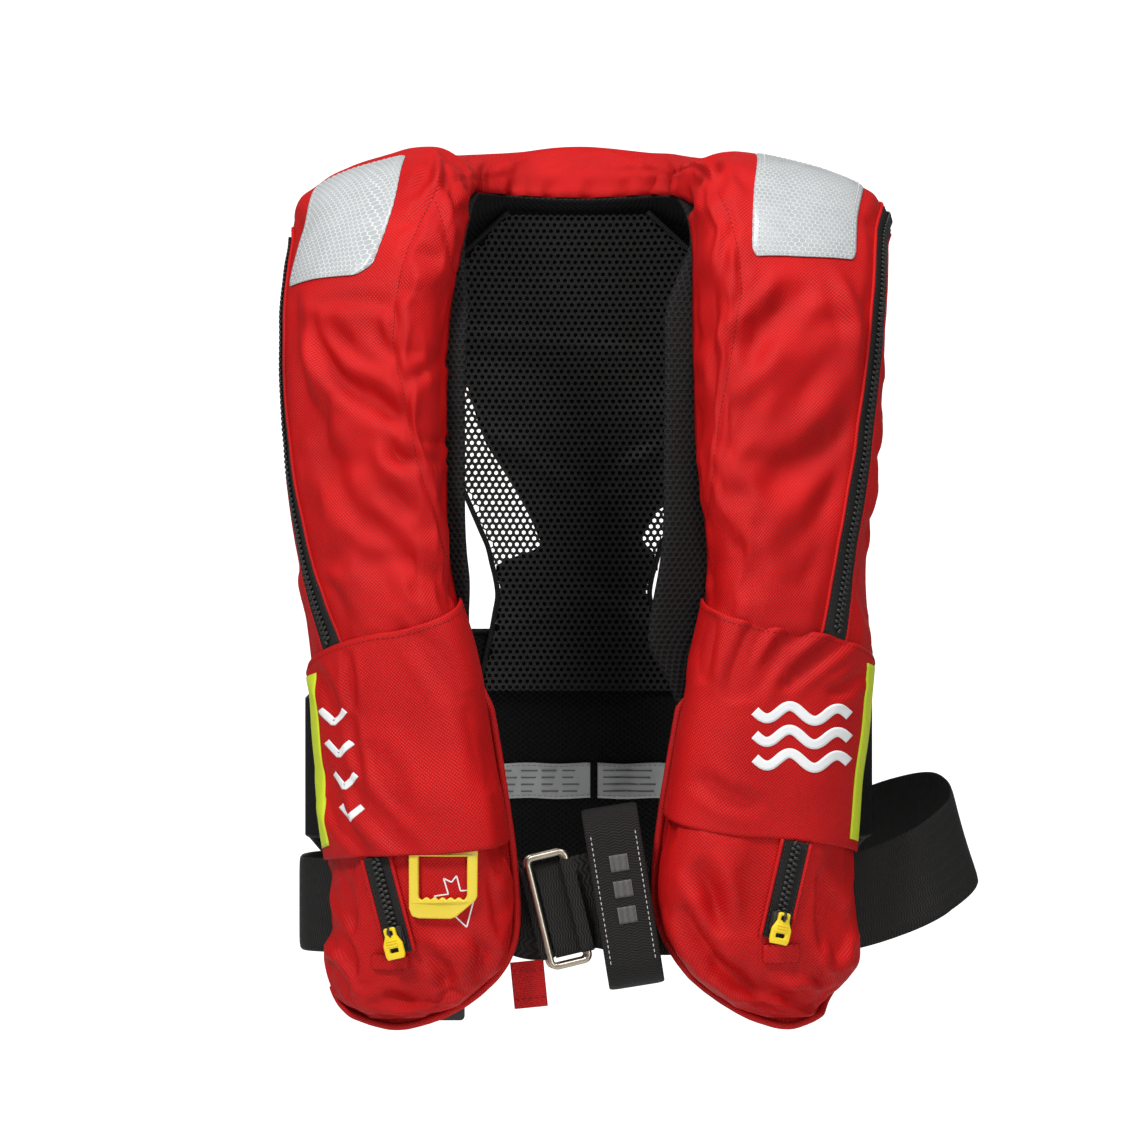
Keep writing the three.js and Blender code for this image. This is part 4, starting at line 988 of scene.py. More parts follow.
UPPER_ZIPS = {
    "left": [(9.3, 0.96), (8.2, 0.95), (7.4, 0.93), (6.7, 0.88), (6, 0.8), (5.45, 0.73), (5.1, 0.69)],
    "right": [(10, 0.9), (9.3, 0.88), (8.2, 0.84), (7.4, 0.8), (6.7, 0.76), (6, 0.7), (5.45, 0.65), (5.1, 0.62)],
}
PATCHES = {
    "left": [(8.35, 0.5), (8.35, 0.86), (9.85, 0.43), (9.7, 0.7)],
    "right": [(8.5, 0.41), (8.55, 0.68), (10.1, 0.43), (10.0, 0.7)],
}
KEPT_FLAT = {  # parts of the front view, in mm, that carry zips and the handle: low x, high x, low z, high z
    "left": [(-118, -86, -410, -338), (-93, -52, -382, -326)],
    "right": [(92, 124, -404, -332)],
}
BANDS = {  # where each band starts and ends, in stations, at its inner and outer edges
    "left": {"foot": (3.77, 3.57), "head": (5.7, 5.0)},
    "right": {"foot": (4.0, 3.62), "head": (5.7, 5.08)},
}


def flat_mask(x, z, side):
    mask = np.ones(x.shape)
    soft = 7.0
    for low_x, high_x, low_z, high_z in KEPT_FLAT[side]:
        inside = smooth_step(x, low_x - soft, low_x) * (1 - smooth_step(x, high_x, high_x + soft))
        inside = inside * smooth_step(z, low_z - soft, low_z) * (1 - smooth_step(z, high_z, high_z + soft))
        mask *= 1 - inside
    return mask


def puffed(points, pinned, pressure, slack, frames, limit):
    """How far a pinned sheet with a little spare cloth moves when air fills it from behind."""
    rows, columns = points.shape[:2]
    mesh = bpy.data.meshes.new("puffing")
    corners = [tuple(map(int, face)) for face in quads(rows, columns)]
    mesh.from_pydata([tuple(p) for p in points.reshape(-1, 3)], [], corners)
    piece = bpy.data.objects.new("puffing", mesh)
    bpy.context.scene.collection.objects.link(piece)
    group = piece.vertex_groups.new(name="pinned")
    for index, weight in enumerate(pinned.ravel()):
        if weight > 0:
            group.add([index], float(weight), "REPLACE")
    cloth = piece.modifiers.new("cloth", "CLOTH")
    settings = cloth.settings
    settings.quality = 4
    settings.mass = 0.12
    settings.air_damping = 2.0
    settings.tension_stiffness = settings.compression_stiffness = 18
    settings.shear_stiffness = 8
    settings.bending_stiffness = 0.25
    settings.use_pressure = True
    settings.uniform_pressure_force = pressure
    settings.shrink_min = -slack
    settings.vertex_group_mass = "pinned"
    settings.effector_weights.gravity = 0
    cloth.collision_settings.use_collision = False
    scene = bpy.context.scene
    for number in range(1, frames + 1):
        scene.frame_set(number)
    evaluated = piece.evaluated_get(bpy.context.evaluated_depsgraph_get())
    moved = np.zeros(rows * columns * 3, np.float32)
    evaluated.data.vertices.foreach_get("co", moved)
    shift = moved.reshape(rows, columns, 3).astype(float) - points
    bpy.data.objects.remove(piece)
    bpy.data.meshes.remove(mesh)
    scene.frame_set(1)
    size = np.linalg.norm(shift, axis=-1, keepdims=True)
    return shift * np.tanh(size / limit) * limit / np.maximum(size, 1e-9)


def finer(grid, rows, columns):
    """A grid of vectors sampled at fractional rows and columns by smooth curves."""
    count, width = grid.shape[:2]
    tall = catmull(grid.reshape(count, -1), rows).reshape(len(rows), width, -1)
    turned = tall.transpose(1, 0, 2).reshape(width, -1)
    return catmull(turned, columns).reshape(len(columns), len(rows), -1).transpose(1, 0, 2)


def away_from_zips(points):
    """0 beside the upper zips, which lie smooth, and 1 away from them."""
    mask = np.ones(points.shape[:2])
    for side, corners in UPPER_ZIPS.items():
        route = catmull(corners, np.linspace(0, len(corners) - 1, 90))
        line = lobe(from_foot(side, route[:, 0]), route[:, 1])
        nearest = np.full(points.shape[:2], 1.0)
        for point in line:
            nearest = np.minimum(nearest, np.linalg.norm(points - point, axis=-1))
        mask *= 0.1 + 0.9 * smooth_step(nearest, 9 * MM, 20 * MM)
    return mask


def away_from_patches():
    """0 under the reflective patches, which hold the cloth flat, and 1 away from them."""
    mask = np.ones((len(ROW_U), COLUMNS))
    for side, corners in PATCHES.items():
        t = from_foot(side, ROW_U)[:, None]
        low_t, high_t = corners[0][0], corners[2][0]
        share = np.clip((t - low_t) / (high_t - low_t), 0, 1)
        low_a = corners[0][1] * (1 - share) + corners[2][1] * share
        high_a = corners[1][1] * (1 - share) + corners[3][1] * share
        inside = smooth_step(t, low_t - 0.3, low_t) * (1 - smooth_step(t, high_t, high_t + 0.3))
        a = COLUMN_A[None]
        inside = inside * smooth_step(a, low_a - 0.08, low_a) * (1 - smooth_step(a, high_a, high_a + 0.08))
        mask *= 1 - 0.9 * inside
    return mask


def softened(field, rounds):
    """A grid of vectors with its small steps smoothed away."""
    for _ in range(rounds):
        inner = (field[:-2, 1:-1] + field[2:, 1:-1] + field[1:-1, :-2] + field[1:-1, 2:]) / 4
        field = field.copy()
        field[1:-1, 1:-1] = field[1:-1, 1:-1] * 0.4 + inner * 0.6
    return field


INSIDE = [
    "bladder", "gas_cylinder", "inflator_body", "inflator_cap", "inflator_lever", "oral_tube", "oral_cap", "whistle",
]


def room_inside(points):
    """How far the cover may sink at each point before it meets what it holds."""
    room = np.full(points.shape[:2], 6 * MM)
    for name in INSIDE:
        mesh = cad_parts[name].data
        tree = BVHTree.FromPolygons([v.co for v in mesh.vertices], [tuple(f.vertices) for f in mesh.polygons])
        for i, j in np.ndindex(room.shape):
            found = tree.find_nearest(Vector(points[i, j]), 12 * MM)
            if found[0] is not None:
                room[i, j] = min(room[i, j], max(found[3] - 2.4 * MM, -1.5 * MM))
    return room


NEAR_COLLAR = 4.2  # stations on each side of the collar's middle that its folds reach
FRONT_TOP, FOOT_TOP = 20, -338  # heights in mm: the front's folds end below one, the foot's below the other


def front_height(x, z, left, near_collar):
    """The height in metres that the folds and seams of both lobes and the collar give to the front."""
    height = np.zeros(x.shape)
    for side, rows in (("left", left), ("right", ~left)):
        height += fold_height(x, z, FOLDS[side]) * (rows & (z < FRONT_TOP))
        height += 1.4 * fold_height(x, z, FOLDS["foot_" + side]) * (rows & (z < FOOT_TOP))
        height += seam_height(x, z, SEAMS[side]) * rows
    return height + (fold_height(x, z, FOLDS["collar"]) + seam_height(x, z, SEAMS["collar"])) * near_collar


def puffed_cover():
    """How far each point of the cover's grid moves when the lobes are filled, from a coarser grid."""
    rows, columns = ROW_U[::3], COLUMN_A[::2]
    coarse = lobe(rows[:, None], columns[None])
    pinned = np.zeros(coarse.shape[:2])
    pinned[:, 0] = pinned[:, -1] = pinned[0] = pinned[-1] = 1
    x, z = coarse[..., 0] / MM, coarse[..., 2] / MM
    on_left = (rows < COLLAR)[:, None]
    for side, reach in (("left", on_left), ("right", ~on_left), ("collar", np.ones_like(on_left))):
        for line in SEAMS[side]:
            away, _ = along_line(x, z, line)
            pinned = np.maximum(pinned, 0.55 * reach * (away < 3.2) * (coarse[..., 1] < 0.05))
    loose = puffed(coarse, pinned, pressure=2.2, slack=0.035, frames=20, limit=4.5 * MM)
    at_rows = np.interp(ROW_U, rows, np.arange(len(rows)))
    at_columns = np.interp(COLUMN_A, columns, np.arange(len(columns)))
    return finer(loose, at_rows, at_columns)


def band_ends(side, a):
    """Where a band starts and ends, in stations, at each share a of the way to its outer edge."""
    foot, head = BANDS[side]["foot"], BANDS[side]["head"]
    return foot[0] + (foot[1] - foot[0]) * a, head[0] + (head[1] - head[0]) * a


def under_bands(left):
    """1 where a band lies over the cover, with soft ends."""
    covered = np.zeros((len(ROW_U), COLUMNS))
    for side, rows in (("left", left), ("right", ~left)):
        t = from_foot(side, ROW_U)[:, None]
        low, high = band_ends(side, COLUMN_A[None])
        within = smooth_step(t, low - 0.03, low + 0.16) * (1 - smooth_step(t, high - 0.16, high + 0.03))
        covered = np.maximum(covered, within * rows)
    return covered


def make_cover_grid():
    base = lobe(ROW_U[:, None], COLUMN_A[None])
    out = lobe_out(np.broadcast_to(ROW_U[:, None], base.shape[:2]), COLUMN_A[None])
    x, z = base[..., 0] / MM, base[..., 2] / MM
    left = (ROW_U < COLLAR)[:, None]
    near_collar = (np.abs(ROW_U - COLLAR) < NEAR_COLLAR)[:, None]
    height = front_height(x, z, left, near_collar) * smooth_step(-out[..., 1], -0.25, 0.2)
    shift = puffed_cover()
    sunk = under_bands(left)
    calm = np.where(left, flat_mask(x, z, "left"), flat_mask(x, z, "right")) * (1 - sunk)
    calm = calm * away_from_zips(base) * away_from_patches()
    move = shift * calm[..., None] + out * (height * calm - 1.6 * MM * sunk)[..., None]
    depth = np.sum(move * out, -1)
    room = room_inside(base)
    return base + softened(move + out * np.maximum(-room - depth, 0)[..., None], 2)


COVER = make_cover_grid()
COVER_OUT = grid_normals(COVER)


def cover_at(u, a):
    """The finished cover's place and outward direction at u, a."""
    u, a = np.broadcast_arrays(np.asarray(u, float), np.asarray(a, float))
    i = np.clip(np.interp(u, ROW_U, np.arange(len(ROW_U))), 0, len(ROW_U) - 1.001)
    j = np.clip(a * (COLUMNS - 1), 0, COLUMNS - 1.001)
    i0, j0 = i.astype(int), j.astype(int)
    p, q = (i - i0)[..., None], (j - j0)[..., None]

    def mix(grid):
        near = grid[i0, j0] * (1 - q) + grid[i0, j0 + 1] * q
        far = grid[i0 + 1, j0] * (1 - q) + grid[i0 + 1, j0 + 1] * q
        return near * (1 - p) + far * p

    return mix(COVER), unit(mix(COVER_OUT))


def plain_at(u, a):
    """The same for the lobe before it was puffed and folded."""
    u, a = np.broadcast_arrays(np.asarray(u, float), np.asarray(a, float))
    return lobe(u, a), lobe_out(u, a)


def patch_rows(side, corners, rows, columns, corner=(0, 0)):
    """u and a on a patch between four corners (t, a): start inner, start outer, end inner, end outer.

    corner rounds the patch's corners, as shares of its half width and half height."""
    s = np.linspace(-1, 1, columns)[None]
    t = np.sin(np.linspace(-1, 1, rows) * math.pi / 2)[:, None] if corner[1] else np.linspace(-1, 1, rows)[:, None]
    if corner[1]:
        beyond = np.clip((np.abs(t) - (1 - corner[1])) / corner[1], 0, 1)
        s = s * (1 - corner[0] * (1 - np.sqrt(1 - beyond**2)))
    s, t = (np.broadcast_to(v, (rows, columns)) / 2 + 0.5 for v in (s, t))
    p = np.asarray(corners, float)
    grid = (
        p[0] * ((1 - s) * (1 - t))[..., None]
        + p[1] * (s * (1 - t))[..., None]
        + p[2] * ((1 - s) * t)[..., None]
        + p[3] * (s * t)[..., None]
    )
    return from_foot(side, grid[..., 0]), grid[..., 1]


def sewn(name, u, a, lift, thickness, material, surface=cover_at, roll=0.45):
    """A piece of cloth sewn on: its top lies lift plus thickness over the surface."""
    place, out = surface(u, a)
    height = np.broadcast_to(lift + thickness, out.shape[:2])
    top = rolled(place + out * height[..., None], out, roll * thickness)
    return sheet_piece(name, top, material, thickness * 0.9, out), top


def cut_size(points):
    """A grid's cut: its greatest width and length, and its area."""
    lengths = np.linalg.norm(np.diff(points, axis=0), axis=-1).sum(0).max()
    widths = np.linalg.norm(np.diff(points, axis=1), axis=-1).sum(1).max()
    one = np.cross(points[1:, :-1] - points[:-1, :-1], points[:-1, 1:] - points[:-1, :-1])
    two = np.cross(points[:-1, 1:] - points[1:, 1:], points[1:, :-1] - points[1:, 1:])
    area = (np.linalg.norm(one, axis=-1).sum() + np.linalg.norm(two, axis=-1).sum()) / 2
    return (float(widths), float(lengths)), float(min(area, widths * lengths))


def hand_over(piece, slot, *nodes, body="vest"):
    """The piece rides on a body and stands for its model nodes, which are hidden. slot is not used."""
    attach(piece, body)
    if nodes:
        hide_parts(*nodes)


def hand_over_sheet(piece, points, slot, nodes):
    hand_over(piece, slot, *nodes)
    flat, area = cut_size(points)


def make_covers(finish):
    marks = [int(np.argmin(np.abs(ROW_U - b))) for b in BREAKS]
    for name, low, high in zip(COVER_NAMES, marks, marks[1:]):
        points = COVER[low : high + 1]
        piece = sheet_piece(name + "_cloth", points, finish["red"], 1.1 * MM, COVER_OUT[low : high + 1])
        hand_over(piece, "red_cloth", name)


# ---- bands, strips and patches ----

BAND_GAP = 0.7 * MM
BAND_THICKNESS = 1.2 * MM
MOUTH_LIFT = 3.9 * MM
THREAD_LIFT = 0.1 * MM


def band_surface(side):
    """The band's outer face: over the plain lobe, with its folds and the left one's open mouth."""

    def surface(u, a):
        place, out = plain_at(u, a)
        t = u if side == "left" else LAST - u
        lift = np.full(np.shape(t), BAND_GAP + BAND_THICKNESS)
        if side == "left":
            window = smooth_step(a, 0.14, 0.26) * (1 - smooth_step(a, 0.54, 0.68))
            lift = lift + MOUTH_LIFT * (1 - smooth_step(t, 4.05, 4.75)) * window
        x, z = place[..., 0] / MM, place[..., 2] / MM
        folds = fold_height(x, z, BAND_FOLDS[side])
        soft = 0.5 * MM * np.sin(x / 9.0 + z / 17.0) * np.sin(z / 13.0 - x / 21.0)
        lift = lift + np.maximum(folds, -1.6 * MM) + soft + 0.5 * MM
        return place + out * lift[..., None], out

    return surface


def make_band(side, finish, lines):
    edge = 0.02
    foot, head = BANDS[side]["foot"], BANDS[side]["head"]
    corners = [(foot[0], edge), (foot[1], 1 - edge), (head[0], edge), (head[1], 1 - edge)]
    u, a = patch_rows(side, corners, 74, 120)
    surface = band_surface(side)
    top, out = surface(u, a)
    top = rolled(top, out, 0.5 * MM)
    piece = sheet_piece("band_" + side + "_cloth", top, finish["red"], BAND_THICKNESS, out)
    hand_over_sheet(piece, top, "red_cloth", ["band_" + side])
    share = np.linspace(0.02, 0.98, 90)
    low, high = band_ends(side, share)
    hem = 0.965  # the hem's stitches, as a share of the band's height
    place, out = surface(from_foot(side, low + (high - low) * hem), share)
    lines["dark_thread"].append((place + out * THREAD_LIFT, out))
    strip = [(foot[1] + 0.16, 0.82), (foot[1] + 0.12, 0.93), (head[1] - 0.02, 0.82), (head[1] - 0.06, 0.93)]
    u, a = patch_rows(side, strip, 40, 8)
    piece, top = sewn("fluoro_strip_" + side + "_tape", u, a, 0.25 * MM, 0.5 * MM, finish["fluoro"], surface)
    hand_over_sheet(piece, top, "fluorescent_tape", ["fluoro_strip_" + side])


PATCH_GAP = 0.35 * MM
PATCH_THICKNESS = 0.55 * MM


def make_patch(side, finish, lines):
    count, inset = 40, 3
    u, a = patch_rows(side, PATCHES[side], count, count, corner=(0.16, 0.16))
    name = "reflective_patch_" + side
    piece, top = sewn(name + "_film", u, a, PATCH_GAP, PATCH_THICKNESS, finish["film"])
    hand_over_sheet(piece, top, "reflective_film", [name])
    first, last = inset, count - 1 - inset
    run = range(first + 2, last - 1)
    ring = [top[first, j] for j in run] + [top[i, last] for i in run]
    ring += [top[last, j] for j in reversed(run)] + [top[i, first] for i in reversed(run)]
    middle = count // 2
    out = cover_at(u[middle, middle], a[middle, middle])[1]
    lines["pale_thread"].append((polyline([*ring, ring[0]]) + out * 0.12 * MM, out))


def surface_steps(u, a, offset):
    """The change in u and a that moves a point of the lobe by offset along its surface."""
    step = 0.01
    along = (lobe(u + step, a) - lobe(u - step, a)) / (2 * step)
    low, high = np.clip(a - step, 0, 1), np.clip(a + step, 0, 1)
    across = (lobe(u, high) - lobe(u, low)) / (high - low)[..., None]
    aa, bb, ab = (np.sum(p * q, -1) for p, q in ((along, along), (across, across), (along, across)))
    pa, pb = np.sum(offset * along, -1), np.sum(offset * across, -1)
    det = aa * bb - ab * ab
    return (pa * bb - pb * ab) / det, (pb * aa - pa * ab) / det


def strip_grid(u, a, width, columns=9):
    """u and a across a strip of that width whose middle runs through u, a."""
    place = lobe(u, a)
    out = lobe_out(u, a)
    along = unit(np.gradient(place, axis=0))
    across = unit(np.cross(out, along))
    offsets = np.linspace(-width / 2, width / 2, columns)
    grid_u, grid_a = [], []
    for offset in offsets:
        du, da = surface_steps(u, a, across * offset)
        grid_u.append(u + du)
        grid_a.append(np.clip(a + da, 0.002, 0.998))
    return np.stack(grid_u, 1), np.stack(grid_a, 1)


TAPE_WIDTH = 16 * MM
TAPE_THICKNESS = 0.6 * MM
TAPE_GAP = 0.3 * MM


def make_upper_zip(side, finish, lines):
    count = 150
    route = catmull(UPPER_ZIPS[side], np.linspace(0, len(UPPER_ZIPS[side]) - 1, count))
    u, a = from_foot(side, route[:, 0]), route[:, 1]
    grid_u, grid_a = strip_grid(u, a, TAPE_WIDTH)
    name = "zip_tape_upper_" + side
    piece, top = sewn(name + "_knit", grid_u, grid_a, TAPE_GAP, TAPE_THICKNESS, finish["tape"], roll=0.2)
    hand_over_sheet(piece, top, "zip_tape", [name])
    place, out = cover_at(u, a)
    foot, head = BANDS[side]["head"]
    shown = route[:, 0] > foot + (head - foot) * a + 0.05
    chain = place[shown] + out[shown] * (TAPE_GAP + TAPE_THICKNESS + 0.75 * MM)
    teeth = lines_object("zip_chain_upper_" + side + "_teeth", [(chain, out[shown])])
    run_tree(TREES["teeth"], teeth, teeth_values(finish))
    hand_over(teeth, "zip_teeth", "zip_chain_upper_" + side)
    for column, edge in enumerate(("inner", "outer")):
        lip_u, lip_a = strip_grid(u, a, TAPE_WIDTH + 0.8 * MM, 2)
        place, out = cover_at(lip_u[:, column], lip_a[:, column])
        route = place[::2] + out[::2] * 0.5 * MM
        lip = tube("zip_lip_%s_%s" % (side, edge), route, 0.95 * MM, finish["red"], 10)
        hand_over(lip, "red_cloth")
        stitch_u, stitch_a = strip_grid(u, a, TAPE_WIDTH - 3.4 * MM, 2)
        place, out = cover_at(stitch_u[:, column], stitch_a[:, column])
        lines["black_thread"].append((place + out * (TAPE_GAP + TAPE_THICKNESS + THREAD_LIFT), out))


def teeth_values(finish):
    return {"Pitch": TOOTH_PITCH, "Size": TOOTH, "Aside": TOOTH_ASIDE, "Finish": finish["teeth"]}


# ---- lower zips, with their sliders and pulls ----

LOWER_ZIPS = {
    "left": {"middle": (-101.5, -370), "up": (-0.243, 0, 0.97), "lift": 0.7},
    "right": {"middle": (109, -362), "up": (0.215, 0, 0.977), "lift": 0.45},
}
LOWER_ZIP_LENGTH = 46 * MM
CHAIN_WIDTH = 6.4 * MM
CHAIN_THICKNESS = 1.8 * MM
LOWER_TAPE_THICKNESS = 0.8 * MM
SLIDER_LENGTH = 11 * MM
SLIDER_WALL = 1.8 * MM
SLIDER_TOP = 2 * MM
PULL_LENGTH = 17 * MM
PULL_WIDTH = 11 * MM
PULL_THICKNESS = 2.2 * MM


class Place:
    """A local frame: x across, y up and z out, with points given in metres."""

    def __init__(self, origin, x, y, z):
        self.origin = np.asarray(origin, float)
        self.axes = np.stack([np.asarray(v, float) for v in (x, y, z)])

    def at(self, points):
        return self.origin + np.asarray(points, float) @ self.axes

    def shifted(self, x, y, z):
        return Place(self.at((x, y, z)), *self.axes)


def lower_zip_place(side):
    sizes = LOWER_ZIPS[side]
    u, a = spot(side, *sizes["middle"])
    out = lobe_out(u, a)
    up = np.asarray(sizes["up"], float)
    up = unit(up - out * (up @ out))
    return Place(lobe(u, a) + out * sizes["lift"] * MM, np.cross(up, out), up, out)


def rounded_outline(width, height, radius, steps=5):
    points = []
    for cx, cy, start in ((1, -1, -90), (1, 1, 0), (-1, 1, 90), (-1, -1, 180)):
        for k in range(steps + 1):
            turn = math.radians(start + 90 * k / steps)
            x = cx * (width / 2 - radius) + radius * math.cos(turn)
            y = cy * (height / 2 - radius) + radius * math.sin(turn)
            points.append((x, y))
    return points


def mirrored(half, step):
    """A closed outline from its right half, told from the foot up, in even steps."""
    other = [(-x, y) for x, y in reversed(half) if x]
    ring = [other[-1], *half, *other[:-1], other[-1]]
    return [tuple(p) for p in polyline(ring, step)[:-1]]


def plate(name, outlines, thickness, bevel, material, move):
    """A flat plate with rounded edges; the first outline is its edge and the others are holes.

    move takes points whose z runs from 0 at the back to thickness at the front."""
    curve = bpy.data.curves.new(name, "CURVE")
    curve.dimensions = "2D"
    curve.fill_mode = "BOTH"
    curve.extrude = thickness / 2 - bevel
    curve.bevel_depth = bevel
    curve.bevel_resolution = 2
    curve.offset = -bevel
    for outline in outlines:
        spline = curve.splines.new("POLY")
        spline.points.add(len(outline) - 1)
        for point, (x, y) in zip(spline.points, outline):
            point.co = (x, y, 0, 1)
        spline.use_cyclic_u = True
    holder = bpy.data.objects.new(name + "_outline", curve)
    bpy.context.scene.collection.objects.link(holder)
    mesh = bpy.data.meshes.new_from_object(holder.evaluated_get(bpy.context.evaluated_depsgraph_get()))
    bpy.data.objects.remove(holder)
    shell = bmesh.new()
    shell.from_mesh(mesh)
    bmesh.ops.remove_doubles(shell, verts=shell.verts, dist=1e-6)
    points = np.array([v.co for v in shell.verts])
    flat = points[:, :2].copy()
    points[:, 2] += thickness / 2
    for vertex, point in zip(shell.verts, move(points)):
        vertex.co = point
    layer = shell.loops.layers.uv.new("cloth")
    shell.verts.index_update()
    for face in shell.faces:
        face.smooth = True
        for loop in face.loops:
            loop[layer].uv = flat[loop.vert.index]
    bmesh.ops.recalc_face_normals(shell, faces=shell.faces)
    shell.to_mesh(mesh)
    shell.free()
    mesh.name = name
    piece = link(name, mesh, material)
    mesh.set_sharp_from_angle(angle=math.radians(50))
    return piece


def make_lower_zip(side, finish, lines):
    place = lower_zip_place(side)
    x = np.linspace(-TAPE_WIDTH / 2, TAPE_WIDTH / 2, 9)
    y = np.linspace(-LOWER_ZIP_LENGTH / 2 - 3 * MM, LOWER_ZIP_LENGTH / 2 + 4 * MM, 40)
    top = place.at(np.stack(np.broadcast_arrays(x[None], y[:, None], LOWER_TAPE_THICKNESS), -1))
    out = place.axes[2]
    name = "zip_tape_lower_" + side
    tape = sheet_piece(name + "_knit", top, finish["tape"], LOWER_TAPE_THICKNESS, out)
    hand_over_sheet(tape, top, "zip_tape", [name])
    base = LOWER_TAPE_THICKNESS + GAP
    half = LOWER_ZIP_LENGTH / 2
    chain = place.at(polyline([(0, k, base + 0.8 * MM) for k in (-half + 1 * MM, half + 3 * MM)]))
    teeth = lines_object("zip_chain_lower_" + side + "_teeth", [(chain, out)])
    run_tree(TREES["teeth"], teeth, teeth_values(finish))
    hand_over(teeth, "zip_teeth", "zip_chain_lower_" + side)
    for sign in (-1, 1):
        edge = [(sign * (TAPE_WIDTH / 2 + 0.2 * MM), k, 0.5 * MM) for k in (y[0] - 1 * MM, 0, y[-1])]
        lip_name = "lower_zip_lip_%s_%s" % (side, "right" if sign > 0 else "left")
        lip = tube(lip_name, place.at(polyline(edge, 3 * MM)), 1.15 * MM, finish["red"], 10)
        hand_over(lip, "red_cloth")
        seam = [(sign * (TAPE_WIDTH / 2 - 1.9 * MM), k, base - 0.3 * MM) for k in (y[0], y[-1])]
        lines["black_thread"].append((place.at(polyline(seam)), out))
    make_slider(side, place, base, finish)


def make_slider(side, place, base, finish):
    middle_y = -LOWER_ZIP_LENGTH / 2 + SLIDER_LENGTH / 2 + 1 * MM
    half = CHAIN_WIDTH / 2 + GAP + SLIDER_WALL
    roof = CHAIN_THICKNESS + GAP
    tall = roof + SLIDER_TOP
    shield = mirrored([
        (half * 0.72, -SLIDER_LENGTH / 2), (half * 0.86, -SLIDER_LENGTH * 0.1), (half, SLIDER_LENGTH * 0.28),
        (half * 0.8, SLIDER_LENGTH / 2), (0, SLIDER_LENGTH * 0.4),
    ], 0.8 * MM)
    body = place.shifted(0, middle_y, base + roof)
    cover = plate("slider_shield_" + side, [shield], SLIDER_TOP * 0.75, 0.45 * MM, finish["teeth"], body.at)
    hand_over(cover, "zip_teeth", "zip_slider_" + side, body="zip_slider_" + side)
    for sign in (-1, 1):
        wall = rounded_outline(SLIDER_WALL, SLIDER_LENGTH * 0.9, 0.7 * MM)
        seat = place.shifted(sign * (half - SLIDER_WALL / 2), middle_y, base)
        flank_name = "slider_flank_%s_%s" % (side, "right" if sign > 0 else "left")
        flank = plate(flank_name, [wall], roof, 0.3 * MM, finish["teeth"], seat.at)
        hand_over(flank, "zip_teeth", body="zip_slider_" + side)
    pull_base = base + tall + GAP
    hinge_y = middle_y + SLIDER_LENGTH / 2 - 1 * MM
    root = base + roof + 1 * MM
    bridge_path = [
        (0, hinge_y - 3.4 * MM, root), (0, hinge_y - 3.2 * MM, pull_base + 2.2 * MM),
        (0, hinge_y - 0.6 * MM, pull_base + PULL_THICKNESS + 0.9 * MM),
        (0, hinge_y + 1.0 * MM, pull_base + 1.6 * MM), (0, hinge_y + 1.2 * MM, root),
    ]
    route = place.at(catmull(bridge_path, np.linspace(0, 4, 30)))
    bridge = tube("slider_bridge_" + side, route, 0.75 * MM, finish["teeth"], 10)
    hand_over(bridge, "zip_teeth", body="zip_slider_" + side)
    wide, narrow = PULL_WIDTH / 2, PULL_WIDTH * 0.3
    low, high = -PULL_LENGTH / 2, PULL_LENGTH / 2
    outline = mirrored([
        (wide * 0.86, low), (wide, low + 2 * MM), (wide, low + 8 * MM), (narrow, high - 4.5 * MM),
        (narrow, high - 0.8 * MM), (narrow - 0.8 * MM, high),
    ], 0.7 * MM)
    eye = [(x, y + high - 3 * MM) for x, y in rounded_outline(3.4 * MM, 2.6 * MM, 0.8 * MM)]
    slot = [(x, y + low + 4.6 * MM) for x, y in rounded_outline(5.2 * MM, 2.4 * MM, 0.6 * MM)]
    seat = place.shifted(0, hinge_y - PULL_LENGTH / 2 + 1 * MM, pull_base)
    name, yellow = "zip_pull_" + side, finish["yellow"]
    pull = plate(name + "_moulding", [outline, eye, slot], PULL_THICKNESS, 0.5 * MM, yellow, seat.at)
    hand_over(pull, "yellow_plastic", name, body=name)
    for k in range(3):
        rib = rounded_outline(6.4 * MM, 0.8 * MM, 0.35 * MM, 3)
        ridge_seat = seat.shifted(0, low + (7.1 + 1.5 * k) * MM, PULL_THICKNESS - 0.1 * MM)
        ridge = plate(name + "_rib_%d" % k, [rib], 0.5 * MM, 0.2 * MM, yellow, ridge_seat.at)
        hand_over(ridge, "yellow_plastic", body=name)


GARAGES = {
    "left": [(-110, -401.5), (-90, -401.5), (-111, -396), (-91, -396)],
    "right": [(96, -397.5), (116, -397.5), (97, -390.5), (117, -390.5)],
}


def make_garage(side, finish, lines):
    """The cloth pocket that the slider is parked in."""
    corners = []
    for (x, z), longer in zip(GARAGES[side], (0.13, 0.13, 0, 0)):  # stations added at the foot
        u, a = spot(side, x, z)
        corners.append((float(from_foot(side, u)) - longer, float(a)))
    u, a = patch_rows(side, corners, 16, 26, (0.1, 0.3))
    dome = np.sin(np.linspace(0, math.pi, 26))[None] * np.linspace(0.25, 1, 16)[:, None] * 1.5 * MM
    piece, top = sewn("zip_garage_" + side + "_cloth", u, a, 0.3 * MM + dome, 1.2 * MM, finish["red"])
    hand_over(piece, "red_cloth", "zip_garage_" + side)
    for row in (2, 13):
        line = polyline(top[row, 2:-2], 1 * MM)
        out = cover_at(u[row, 12], a[row, 12])[1]
        lines["dark_thread"].append((line + out * 0.1 * MM, out))


# ---- handle ----

HANDLE_TOP, HANDLE_FOOT = -330, -376
HANDLE_LEFT, HANDLE_RIGHT = -90, -55
HANDLE_THICKNESS = 3 * MM


def on_left_cover(points, lift=0.7 * MM):
    """Flat points of the front view, x and z in metres with z out of the cover third, laid on the left lobe."""
    u, a = spot("left", points[:, 0] / MM, points[:, 1] / MM)
    place, out = plain_at(u, a)
    return place + out * (points[:, 2:3] + lift)


